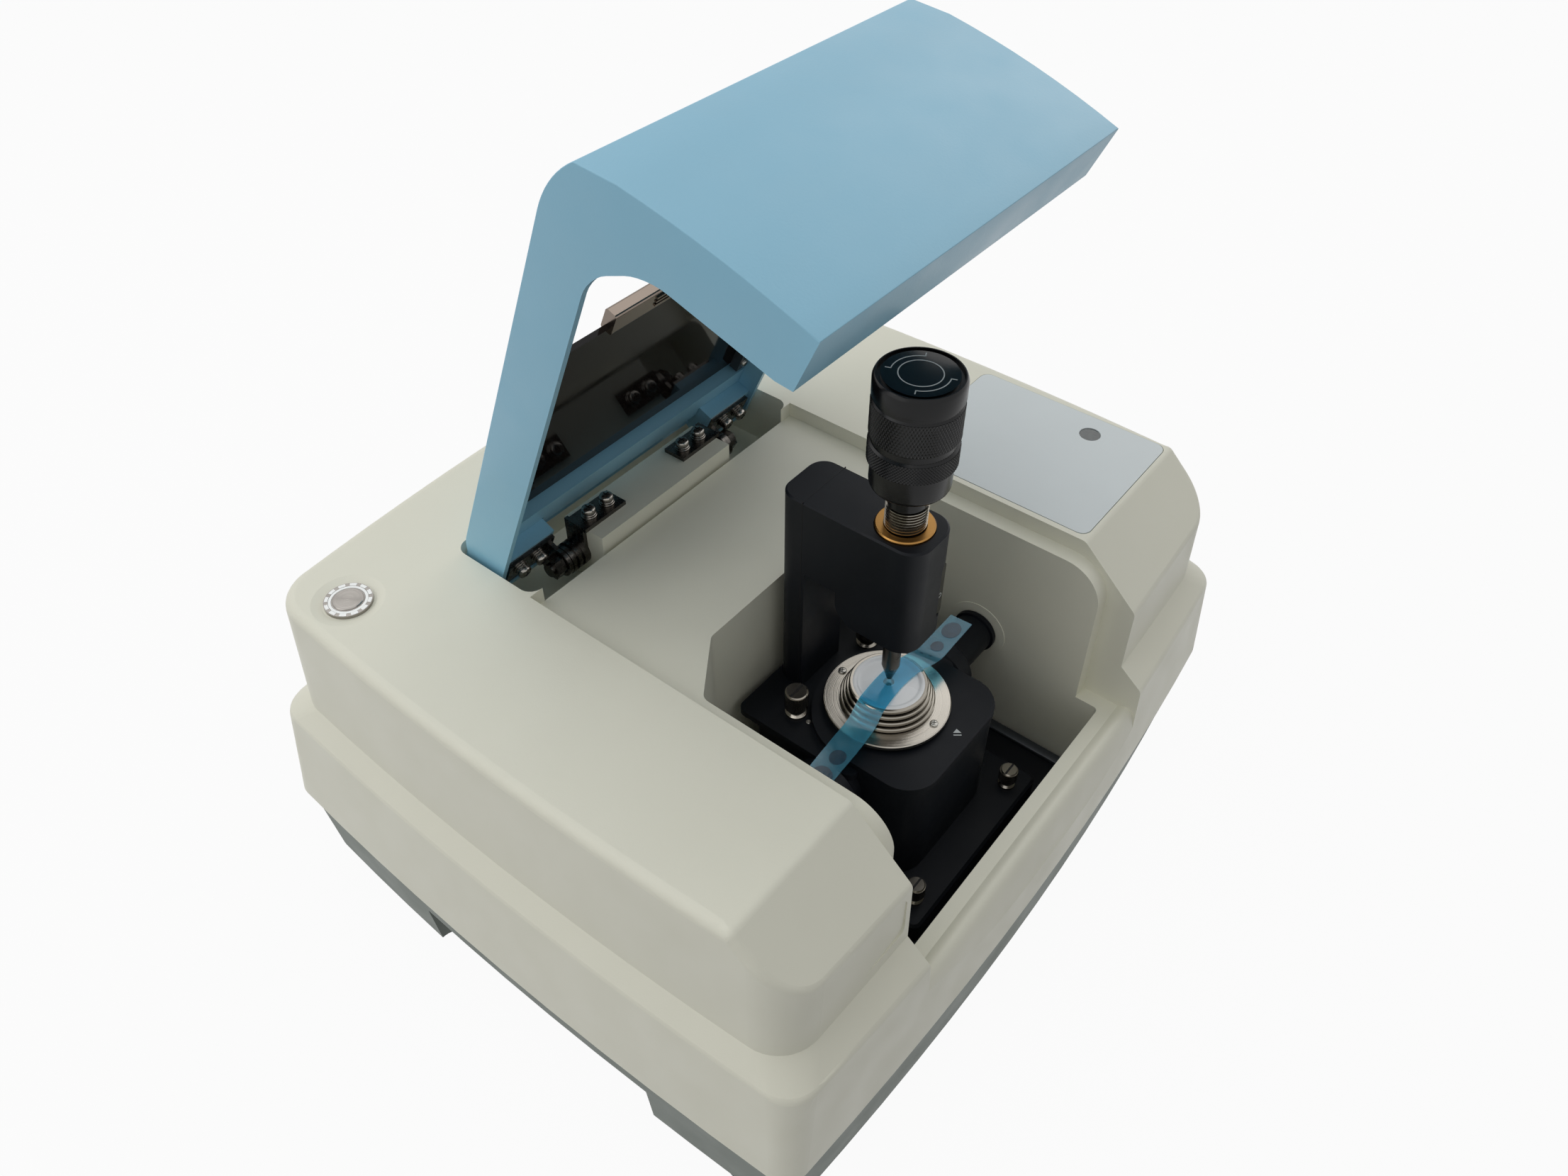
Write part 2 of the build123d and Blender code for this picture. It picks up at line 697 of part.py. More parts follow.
# Desiccant cover plate with its indicator hole
with BuildPart() as desiccant_cover:
    with BuildSketch(Plane((plate_mid_x, plate_mid_y, wing_top_z - plate_recess))):
        RectangleRounded(plate_width, plate_depth, plate_corner_radius)
        with Locations((indicator_x - plate_mid_x, indicator_y - plate_mid_y)):
            Circle(indicator_radius, mode=Mode.SUBTRACT)
    extrude(amount=plate_thickness)
save(desiccant_cover.part, "desiccant_cover")

# Humidity card under the indicator hole, and the clear disc over it
with BuildPart() as humidity_card:
    post(indicator_x, indicator_y,
         (wing_top_z - plate_recess - card_thickness, wing_top_z - plate_recess), card_radius)
save(humidity_card.part, "humidity_card")
with BuildPart() as indicator_window:
    post(indicator_x, indicator_y, (wing_top_z - plate_recess, wing_top_z - plate_recess + 1.0),
         indicator_radius - running_gap)
save(indicator_window.part, "indicator_window")

# Two desiccant cartridges hanging in their wells
with BuildPart() as desiccant_cartridges:
    for side in (-1, 1):
        cartridge_y = plate_mid_y + side * cartridge_pitch / 2
        flange_top = wing_top_z - plate_recess
        post(cartridge_x, cartridge_y, (flange_top - cartridge_flange, flange_top), cartridge_radius + 3)
        post(cartridge_x, cartridge_y, (flange_top - cartridge_height, flange_top), cartridge_radius)
save(desiccant_cartridges.part, "desiccant_cartridges")

# Power button: bezel with bore, cap, light ring and the nut under the wing
dish_z = wing_top_z - button_dish_depth
bezel_top = dish_z + button_flange_height
with BuildPart() as button_bezel:
    post(button_x, button_y, (dish_z, bezel_top), button_flange_radius)
    post(button_x, button_y, (bezel_top - button_body_length, bezel_top), button_body_radius)
    post(button_x, button_y, (bezel_top - 14, bezel_top + 1), button_cap_radius + running_fit, Mode.SUBTRACT)
    with BuildSketch(Plane((button_x, button_y, bezel_top))):
        Circle(button_ring_radius + 1.2)
        Circle(button_ring_radius - 0.6, mode=Mode.SUBTRACT)
    extrude(amount=-1.0, mode=Mode.SUBTRACT)
save(button_bezel.part, "button_bezel")
with BuildPart() as button_ring:
    with BuildSketch(Plane((button_x, button_y, bezel_top - 1.0))):
        Circle(button_ring_radius + 1.0)
        Circle(button_ring_radius - 0.4, mode=Mode.SUBTRACT)
    extrude(amount=1.0)
save(button_ring.part, "button_ring")
with BuildPart() as button_cap:
    post(button_x, button_y, (bezel_top - 10, bezel_top + 0.6), button_cap_radius)
    chamfer(button_cap.edges().group_by(Axis.Z)[-1], 0.4)
save(button_cap.part, "button_cap")
with BuildPart() as button_nut:
    with BuildSketch(Plane((button_x, button_y, wing_top_z - cover_wall - 5))):
        RegularPolygon(button_nut_radius, 6)
        Circle(button_body_radius + running_gap, mode=Mode.SUBTRACT)
    extrude(amount=5.0)
save(button_nut.part, "button_nut")

# Clear beam windows in the compartment walls
with BuildPart() as beam_windows:
    for side in (-1, 1):
        rod((side * seat_half_width, side * (seat_half_width + beam_window_thickness)), atr_y, beam_z,
            beam_window_radius)
save(in_bay(beam_windows.part), "beam_windows")

# Lid hinge: fixed brackets on the well block, with their screws
block_end = block_half_width
with BuildPart() as hinge_brackets:
    for side in (-1, 1):
        block(sorted((side * bracket_inner_x, side * (block_end + leaf_thickness))),
              (bracket_front_y, bracket_rear_y), (block_top_z, block_top_z + leaf_thickness))
        block(sorted((side * block_end, side * (block_end + leaf_thickness))),
              (hinge_y - 7, hinge_y + 7), (hinge_z, block_top_z + leaf_thickness))
        rod((side * block_end, side * (block_end + leaf_thickness)), hinge_y, hinge_z, lug_radius)
        rod((side * (block_end - 1), side * (block_end + leaf_thickness + 1)), hinge_y, hinge_z,
            shaft_radius + running_gap, Mode.SUBTRACT)
save(in_bay(hinge_brackets.part), "hinge_brackets")
with BuildPart() as bracket_screws:
    for x in (-46, -32, 32, 46):
        screw_top = block_top_z + leaf_thickness
        post(x, hinge_y - 2, (screw_top, screw_top + 0.8), 4.6)
        post(x, hinge_y - 2, (screw_top, screw_top + 3.2), 3.4)
save(in_bay(bracket_screws.part), "bracket_screws")

# Hinge shafts with hex nuts, and the washer stacks on them
with BuildPart() as hinge_shafts:
    for side in (-1, 1):
        rod((side * (block_end + 0.2), side * (nut_start + nut_thickness + 2)), hinge_y, hinge_z,
            shaft_radius)
        with BuildSketch(Plane((side * nut_start, hinge_y, hinge_z), x_dir=(0, 1, 0), z_dir=(side, 0, 0))):
            RegularPolygon(nut_across_flats / 2, 6, major_radius=False)
        extrude(amount=nut_thickness)
save(in_bay(hinge_shafts.part), "hinge_shafts")
with BuildPart() as hinge_washers:
    for side in (-1, 1):
        for step in range(washer_count):
            start = block_end + leaf_thickness + step * washer_pitch
            radius = washer_radius - 1.2 * (step % 2)
            rod((side * start, side * (start + washer_pitch)), hinge_y, hinge_z, radius)
        rod((side * block_end, side * nut_start), hinge_y, hinge_z, shaft_radius + running_gap, Mode.SUBTRACT)
save(in_bay(hinge_washers.part), "hinge_washers")

# Lid leaves of the hinge, drawn shut and swung open
with BuildPart() as hinge_leaves:
    for side in (-1, 1):
        block(sorted((side * leaf_lug_x, side * lid_leaf_outer_x)), (lid_leaf_front_y, lid_leaf_rear_y),
              (leaf_seat_z - leaf_thickness, leaf_seat_z))
        block(sorted((side * leaf_lug_x, side * (leaf_lug_x + leaf_thickness))), (hinge_y - 7, hinge_y + 4),
              (hinge_z, leaf_seat_z))
        rod((side * leaf_lug_x, side * (leaf_lug_x + leaf_thickness)), hinge_y, hinge_z, lug_radius)
        rod((side * (leaf_lug_x - 1), side * (leaf_lug_x + leaf_thickness + 1)), hinge_y, hinge_z,
            shaft_radius + running_fit, Mode.SUBTRACT)
save(in_bay(swing(hinge_leaves.part)), "hinge_leaves")
with BuildPart() as leaf_screws:
    for side in (-1, 1):
        for x in (79, 92):
            screw_foot = leaf_seat_z - leaf_thickness
            post(side * x, leaf_screw_y, (screw_foot - 0.8, screw_foot), 4.6)
            post(side * x, leaf_screw_y, (screw_foot - 3.2, screw_foot), 3.4)
save(in_bay(swing(leaf_screws.part)), "leaf_screws")


def lid_outer(inset, floor, inner_points):
    """Closed YZ outline of the lid from its rear skin over the roof to the end of its front leg."""
    top = lid_top_z - inset
    rear = lid_hinge_end_y + 2 - inset
    rear_radius = lid_hinge_end_radius - inset
    with BuildSketch(Plane.XY) as profile:
        with BuildLine():
            Line((rear, inner_points[-1][1]), (rear, top - rear_radius))
            TangentArc((rear, top - rear_radius), (rear - rear_radius, top), tangent=(0, 1))
            Line((rear - rear_radius, top), (lid_bend_y + lid_outer_bend_radius + 7, top))
            TangentArc((lid_bend_y + lid_outer_bend_radius + 7, top), (lid_bend_y + 4.5 + inset, 237.8 - inset),
                       tangent=(-1, 0))
            Line((lid_bend_y + 4.5 + inset, 237.8 - inset), (lid_bend_y - 2 + inset, seat_z - 0.5))
            ThreePointArc((lid_bend_y - 2 + inset, seat_z - 0.5), (lid_bend_y - 7.5 + inset, 188.0),
                          (lid_bend_y - 13 + inset, floor))
            Polyline((lid_bend_y - 13 + inset, floor), *inner_points)
            Line(inner_points[-1], (rear, inner_points[-1][1]))
        make_face()
    return profile.sketch


# Lid shell: roof frame, two cheeks and the deep front leg
with BuildPart() as lid_shell:
    lid_foot_z = seat_z + lid_seat_gap
    with BuildSketch(Plane.YZ):
        add(lid_outer(0.0, lid_end_z, [(lid_end_inner_y, lid_end_z), (-187.0, 134.0), (-180.5, 196.0),
                                       (-158.0, lid_foot_z), (60.0, lid_heel_z)]))
    extrude(amount=lid_half_width, both=True)
    with BuildSketch(Plane.YZ):
        add(lid_outer(lid_wall, lid_end_z + 4, [(-150.0, lid_end_z + 4), (-150.0, 200.0),
                                                (50.0, 200.0), (50.0, 205.0)]))
    extrude(amount=lid_half_width - lid_wall, both=True, mode=Mode.SUBTRACT)
    for side in (-1, 1):
        block(sorted((side * heel_inner_x, side * (lid_half_width - 1))), (heel_front_y, lid_hinge_end_y - 1),
              (leaf_seat_z, lid_top_z - 2))
    block((-heel_inner_x, heel_inner_x), (lid_hinge_end_y - 3, lid_hinge_end_y + 3), (200, 236), Mode.SUBTRACT)
    block((-opening_half_width, opening_half_width), (lid_opening_front_y, lid_opening_rear_y),
          (lid_top_z - lid_wall - 1, lid_top_z + 1), Mode.SUBTRACT)
save(in_bay(swing(lid_shell.part)), "lid_shell")

# Crossbar folded from sheet across the lid near its hinge
with BuildPart() as lid_crossbar:
    reach = lid_half_width - lid_wall - running_gap
    block((-reach, reach), (crossbar_front_y, crossbar_rear_y), (crossbar_z, crossbar_z + crossbar_thickness))
    block((-reach, reach), (crossbar_front_y, crossbar_front_y + crossbar_thickness),
          (crossbar_z, lid_top_z - lid_wall))
    block((-crossbar_lip_half_width + 1, crossbar_lip_half_width - 1), (crossbar_rear_y - 1, crossbar_rear_y + 6),
          (crossbar_z, crossbar_z + crossbar_thickness))
save(in_bay(swing(lid_crossbar.part)), "lid_crossbar")

# Slotted rails in the lid arms
with BuildPart() as window_rails:
    for side in (-1, 1):
        outer_x = lid_half_width - lid_wall - rail_gap
        block(sorted((side * (outer_x - rail_depth), side * outer_x)), (rail_front_y, rail_rear_y),
              (window_z - 6, lid_top_z - lid_wall))
        block(sorted((side * 80, side * (window_half_width + 1))), (rail_front_y - 1, rail_rear_y + 1),
              (window_z - running_fit, window_z + window_thickness + running_fit), Mode.SUBTRACT)
save(in_bay(swing(window_rails.part)), "window_rails")

# Smoked window with a finger hole free front edge, and the grip strip on it
with BuildPart() as window_panel:
    with BuildSketch(Plane((0, (window_front_y + window_rear_y) / 2, window_z))):
        Rectangle(2 * window_half_width, window_rear_y - window_front_y)
        chamfer(vertices(), 2.0)
    extrude(amount=window_thickness)
save(in_bay(swing(window_panel.part)), "window_panel")
with BuildPart() as window_handle:
    half = handle_length / 2
    block((-half, half), (window_front_y - handle_height, window_front_y + 3),
          (window_z - 2, window_z + window_thickness + 2))
    fillet(window_handle.edges().filter_by(Axis.X), 1.5)
    for step in range(3):
        ridge_y = window_front_y - handle_height + 3 + 2.5 * step
        block((-22, 22), (ridge_y, ridge_y + 1.2), (window_z - 2.8, window_z - 1.5))
    block((-half - 1, half + 1), (window_front_y, window_front_y + 5), (window_z, window_z + window_thickness),
          Mode.SUBTRACT)
save(in_bay(swing(window_handle.part)), "window_handle")

# Accessory base plate with its four pillars of the pedestal
with BuildPart() as accessory_base:
    base_top = floor_top_z + accessory_base_thickness
    with BuildSketch(Plane((0, (accessory_front_y + accessory_rear_y) / 2, floor_top_z))):
        RectangleRounded(2 * accessory_half_width, accessory_rear_y - accessory_front_y, 5.0)
    extrude(amount=accessory_base_thickness)
    chamfer(accessory_base.faces().sort_by(Axis.Z)[-1].edges(), 1.5)
    for x in (-50, 50):
        post(x, base_screw_y, (floor_top_z, base_top), thumb_shank_radius + running_fit, Mode.SUBTRACT)
save(in_bay(accessory_base.part), "accessory_base")

# Pedestal body with the beam tunnel through it
with BuildPart() as accessory_pedestal:
    with BuildSketch(Plane.XY.offset(base_top)):
        with Locations((0, (pedestal_front_y + pedestal_rear_y) / 2)):
            Rectangle(2 * pedestal_half_width, pedestal_rear_y - pedestal_front_y)
        fillet(vertices().sort_by(Axis.Y)[:2], pedestal_radius)
    extrude(amount=pedestal_top_z - base_top)
    with BuildSketch(Plane.XY.offset(pedestal_top_z)):
        with Locations((0, (shelf_front_y + shelf_rear_y) / 2)):
            Rectangle(2 * shelf_half_width, shelf_rear_y - shelf_front_y)
        fillet(vertices(), 5.0)
    extrude(amount=-4.0)
    rod((-shelf_half_width, shelf_half_width), atr_y, beam_z, port_radius - port_wall - 1)
    rod((-60, 60), atr_y, beam_z, port_radius - port_wall - 4, Mode.SUBTRACT)
    for x in (-shelf_screw_x, shelf_screw_x):
        post(x, shelf_screw_y, (pedestal_top_z - 12, pedestal_top_z + 1), thumb_shank_radius + running_fit,
             Mode.SUBTRACT)
save(in_bay(accessory_pedestal.part), "accessory_pedestal")

# Port tubes from the pedestal to the beam windows
with BuildPart() as port_tubes:
    for side in (-1, 1):
        tube_end = seat_half_width - port_end_gap
        rod((side * shelf_half_width, side * tube_end), atr_y, beam_z, port_radius)
        rod((side * (tube_end - port_flange_length), side * tube_end), atr_y, beam_z, port_flange_radius - 2)
        rod((side * shelf_half_width, side * (tube_end + 1)), atr_y, beam_z, port_radius - port_wall,
            Mode.SUBTRACT)
save(in_bay(port_tubes.part), "port_tubes")

# Crystal plate: straight front with round corners, circular behind
with BuildPart() as crystal_plate:
    with BuildSketch(Plane((0, 0, pedestal_top_z))):
        with Locations((0, (crystal_plate_front_y + atr_y) / 2)):
            Rectangle(2 * crystal_plate_half_width, atr_y - crystal_plate_front_y)
        fillet(vertices().sort_by(Axis.Y)[:2], 20.0)
        with Locations((0, atr_y)):
            Ellipse(crystal_plate_half_width, crystal_plate_radius)
    extrude(amount=crystal_plate_thickness)
    post(0, atr_y, (pedestal_top_z, ring_z), 30.0)
    post(0, atr_y, (pedestal_top_z, ring_z), 6.0, Mode.SUBTRACT)
save(in_bay(crystal_plate.part), "crystal_plate")

# Steel ring plate and threaded collar on the crystal plate
with BuildPart() as ring_plate:
    post(0, atr_y, (ring_z, ring_z + ring_thickness), ring_radius)
    post(0, atr_y, (ring_z, ring_z + ring_thickness), 6.0, Mode.SUBTRACT)
    chamfer(ring_plate.edges().group_by(Axis.Z)[-1].sort_by(SortBy.RADIUS)[-1:], 0.5)
save(in_bay(ring_plate.part), "ring_plate")
with BuildPart() as threaded_collar:
    collar_z = ring_z + ring_thickness
    with BuildSketch(Plane.XZ.offset(-atr_y)):
        with BuildLine():
            thread_points = [(6.0, collar_z)]
            for step in range(5):
                level = collar_z + step * collar_height / 5
                thread_points += [(collar_radius, level), (collar_radius, level + 1.6),
                                  (collar_radius - 1.0, level + 2.0)]
            thread_points += [(collar_radius - 1.0, collar_z + collar_height),
                              (disc_radius + running_gap, collar_z + collar_height),
                              (disc_radius + running_gap, collar_z + collar_height - 2.0),
                              (6.0, collar_z + collar_height - 2.0)]
            Polyline(*thread_points, close=True)
        make_face()
    revolve(axis=Axis((0, atr_y, 0), (0, 0, 1)))
save(in_bay(threaded_collar.part), "threaded_collar")

# Sealing disc with the crystal in its middle
with BuildPart() as sealing_disc:
    disc_z = collar_z + collar_height - 2.0
    post(0, atr_y, (disc_z, disc_top_z), disc_radius)
    chamfer(sealing_disc.edges().group_by(Axis.Z)[-1], 0.4)
    post(0, atr_y, (disc_z, disc_top_z), crystal_radius + running_gap, Mode.SUBTRACT)
save(in_bay(sealing_disc.part), "sealing_disc")
with BuildPart() as crystal:
    post(0, atr_y, (disc_z - 3, disc_top_z), crystal_radius)
    post(0, atr_y, (disc_z - 3, disc_z), 5.7)
save(in_bay(crystal.part), "crystal")

# Column and press arm
with BuildPart() as press_arm:
    with BuildSketch(Plane.XY.offset(pedestal_top_z)):
        with Locations((0, (column_rear_y + column_front_y) / 2)):
            Rectangle(2 * column_half_width, column_rear_y - column_front_y)
        fillet(vertices().sort_by(Axis.Y)[-2:], arm_corner_radius)
    extrude(amount=arm_top_z - pedestal_top_z)
    with BuildSketch(Plane.YZ):
        with BuildLine():
            Polyline((column_front_y + 1, arm_top_z), (arm_front_y, arm_top_z), (arm_front_y, arm_bottom_z),
                     (arm_block_rear_y - 14, arm_bottom_z))
            ThreePointArc((arm_block_rear_y - 14, arm_bottom_z), (arm_block_rear_y - 4, arm_bottom_z + 4),
                          (arm_block_rear_y, arm_bottom_z + 14))
            Polyline((arm_block_rear_y, arm_bottom_z + 14), (arm_block_rear_y, arm_step_z),
                     (column_front_y + 1, arm_step_z), (column_front_y + 1, arm_top_z))
        make_face()
    extrude(amount=column_half_width, both=True)
    fillet(press_arm.edges().filter_by(Axis.Z).group_by(Axis.Y)[0], 12.0)
    chamfer(press_arm.faces().filter_by(Axis.Z).sort_by(Axis.Z)[-1].edges(), 1.0)
    post(0, atr_y, (arm_bottom_z - 1, arm_top_z), tip_radius + 0.4, Mode.SUBTRACT)
    post(0, atr_y, (spindle_bottom_z - 6, arm_top_z), spindle_radius + 0.5, Mode.SUBTRACT)
    post(0, atr_y, (bush_z, arm_top_z + 1), bush_radius + running_gap, Mode.SUBTRACT)
    with BuildSketch(Plane((10, arm_front_y, slot_z), x_dir=(1, 0, 0), z_dir=(0, -1, 0))):
        SlotCenterToCenter(slot_length, slot_width, rotation=90)
    extrude(amount=-2.5, mode=Mode.SUBTRACT)
save(in_bay(press_arm.part), "press_arm")

# Force indicator insert in the arm slot
with BuildPart() as force_indicator:
    with BuildSketch(Plane((10, arm_front_y + 2.5, slot_z), x_dir=(1, 0, 0), z_dir=(0, -1, 0))):
        SlotCenterToCenter(slot_length, slot_width - 0.6, rotation=90)
    extrude(amount=1.2)
save(in_bay(force_indicator.part), "force_indicator")

# Brass bush in the arm
with BuildPart() as bronze_bush:
    post(0, atr_y, (bush_z, arm_top_z + bush_proud), bush_radius)
    post(0, atr_y, (bush_z, arm_top_z + bush_proud), spindle_radius + running_fit, Mode.SUBTRACT)
    chamfer(bronze_bush.edges().group_by(Axis.Z)[-1].sort_by(SortBy.RADIUS)[-1:], 0.6)
save(in_bay(bronze_bush.part), "bronze_bush")

# Spindle under the knob
with BuildPart() as press_spindle:
    post(0, atr_y, (spindle_bottom_z, neck_z), spindle_radius)
    post(0, atr_y, (spindle_bottom_z, tip_top_z + 1), tip_radius + running_fit, Mode.SUBTRACT)
save(in_bay(press_spindle.part), "press_spindle")

# Knob with its bands and grooves, turned as one profile
with BuildPart() as clamp_knob:
    with BuildSketch(Plane.XZ.offset(-atr_y)):
        with BuildLine():
            Polyline(
                (0, neck_z), (neck_radius, neck_z), (neck_radius, knob_foot_z - 1),
                (knob_radius - 5.4, knob_foot_z), (knob_radius - 4.4, knob_foot_z + 1),
                (knob_radius - 0.9, knob_taper_z - 1), (knob_radius - 0.4, knob_taper_z),
                (knob_radius - 0.4, knob_low_band_z - 0.5), (knob_radius, knob_low_band_z),
                (knob_radius, knob_low_groove_z - 0.5), (knob_radius - 0.5, knob_low_groove_z),
                (knob_radius - 1.2, knob_low_groove_z), (knob_radius - 1.2, knob_low_groove_z + groove_width),
                (knob_radius - 0.65, knob_low_groove_z + groove_width), (knob_radius - 0.65, knob_top_groove_z),
                (knob_radius - 1.4, knob_top_groove_z), (knob_radius - 1.4, knob_top_groove_z + groove_width),
                (knob_radius - 0.5, knob_top_groove_z + groove_width),
                (knob_radius - 0.15, knob_top_groove_z + groove_width + 0.4),
                (knob_radius - 0.15, knob_top_z - 4.9), (knob_radius - 0.5, knob_top_z - 4.5),
                (knob_radius - 1.15, knob_top_z - 4.5), (knob_radius - 1.15, knob_top_z - 1),
                (knob_radius - 2.15, knob_top_z), (cap_radius + running_gap, knob_top_z),
                (cap_radius + running_gap, knob_top_z - cap_depth), (0, knob_top_z - cap_depth), close=True,
            )
        make_face()
    revolve(axis=Axis((0, atr_y, 0), (0, 0, 1)))
save(in_bay(clamp_knob.part), "clamp_knob")
with BuildPart() as knob_cap:
    post(0, atr_y, (knob_top_z - cap_depth, knob_top_z - 0.6), cap_radius)
save(in_bay(knob_cap.part), "knob_cap")

# Pressure tip rod with its cone
with BuildPart() as pressure_tip:
    with BuildSketch(Plane.XZ.offset(-atr_y)):
        with BuildLine():
            Polyline((0, tip_point_z), (tip_point_radius, tip_point_z),
                     (tip_radius, tip_point_z + tip_cone_height), (tip_radius, tip_top_z), (0, tip_top_z),
                     close=True)
        make_face()
    revolve(axis=Axis((0, atr_y, 0), (0, 0, 1)))
save(in_bay(pressure_tip.part), "pressure_tip")

# Thumb screws: two on the accessory base, two on the pedestal shelf
for x, y, seat, depth, name in (
    (-50, base_screw_y, base_top, 10.0, "base_thumbscrew_left"),
    (50, base_screw_y, base_top, 10.0, "base_thumbscrew_right"),
    (-shelf_screw_x, shelf_screw_y, pedestal_top_z, 9.0, "shelf_thumbscrew_left"),
    (shelf_screw_x, shelf_screw_y, pedestal_top_z, 9.0, "shelf_thumbscrew_right"),
):
    with BuildPart() as thumbscrew:
        post(x, y, (seat - depth, seat + 1), thumb_shank_radius)
        post(x, y, (seat, seat + thumb_height), thumb_radius)
        chamfer(thumbscrew.edges().group_by(Axis.Z)[-1], 0.6)
        block((x - thumb_radius - 1, x + thumb_radius + 1), (y - 0.7, y + 0.7),
              (seat + thumb_height - 1.6, seat + thumb_height + 1), Mode.SUBTRACT)
    save(in_bay(thumbscrew.part), name)

# Protective film bridging the crystal, bowed down at both ends
with BuildPart() as protective_film:
    film_half = film_length / 2
    with BuildSketch(Plane.XZ.offset(-film_y)):
        with BuildLine():
            ThreePointArc((-film_half, film_end_z), (0, film_top_z), (film_half, film_end_z))
            Line((film_half, film_end_z), (film_half, film_end_z - film_thickness))
            ThreePointArc((film_half, film_end_z - film_thickness), (0, film_top_z - film_thickness),
                          (-film_half, film_end_z - film_thickness))
            Line((-film_half, film_end_z - film_thickness), (-film_half, film_end_z))
        make_face()
    extrude(amount=film_width / 2, both=True)
    with BuildSketch(Plane.XY.offset(film_end_z - 10)):
        with Locations((-film_half + 12, film_y), (film_half - 12, film_y)):
            SlotOverall(9.0, 5.0)
    extrude(amount=40, mode=Mode.SUBTRACT)
save(in_bay(protective_film.part), "protective_film")
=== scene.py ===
import logging
import math
from dataclasses import dataclass
from enum import Enum

import bmesh
import bpy
from mathutils import Matrix, Vector


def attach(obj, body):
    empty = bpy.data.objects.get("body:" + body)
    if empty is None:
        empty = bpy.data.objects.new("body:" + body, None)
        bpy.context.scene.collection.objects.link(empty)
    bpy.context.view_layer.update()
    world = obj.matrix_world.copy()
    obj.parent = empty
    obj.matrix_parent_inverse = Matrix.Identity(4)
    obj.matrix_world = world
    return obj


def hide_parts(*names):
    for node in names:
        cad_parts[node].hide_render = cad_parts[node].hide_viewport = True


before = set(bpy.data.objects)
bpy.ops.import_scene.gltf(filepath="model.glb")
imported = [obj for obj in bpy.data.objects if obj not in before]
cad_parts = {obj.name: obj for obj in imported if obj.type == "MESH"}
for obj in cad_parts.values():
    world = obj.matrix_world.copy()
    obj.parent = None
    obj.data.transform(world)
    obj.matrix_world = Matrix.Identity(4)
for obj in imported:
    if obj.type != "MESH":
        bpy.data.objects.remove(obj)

Pair = tuple[float, float]
Triple = tuple[float, float, float]
Colour = tuple[float, float, float, float]
Mesh = bmesh.types.BMesh
Verts = list[bmesh.types.BMVert]
Tree = bpy.types.NodeTree
Socket = bpy.types.NodeSocket
Piece = bpy.types.Object

log = logging.getLogger("spectrometer")
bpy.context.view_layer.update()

# Places shared with the solids: middle of the bay, press axis, lid hinge and power button
BAY_X = -0.0125
ATR_Y = -0.0904
PRESS_AXIS = (BAY_X, ATR_Y, 0.0)
HINGE_Y = 0.087
HINGE_Z = 0.210
LID_OPEN = math.radians(-66.0)
BUTTON_X = -0.1825
BUTTON_Y = 0.137

# Range that a noise pattern mostly takes, and how much finer the gloss pattern is than the mottling
NOISE_RANGE = (0.3, 0.7)
GLOSS_FINER = 3.0


class Axis(Enum):
    """Direction that a turned or brushed finish runs round or along."""

    X = 0
    Y = 1
    Z = 2


def linear(red: int, green: int, blue: int) -> Colour:
    """Turn a screen colour into the scene-linear colour that a shader takes.

    Args:
        red: Red from 0 to 255.
        green: Green from 0 to 255.
        blue: Blue from 0 to 255.

    Returns:
        Linear red, green, blue and an alpha of one.
    """
    def channel(value: int) -> float:
        """Return one channel in scene-linear light."""
        share = value / 255.0
        return share / 12.92 if share <= 0.04045 else ((share + 0.055) / 1.055) ** 2.4
    return (channel(red), channel(green), channel(blue), 1.0)


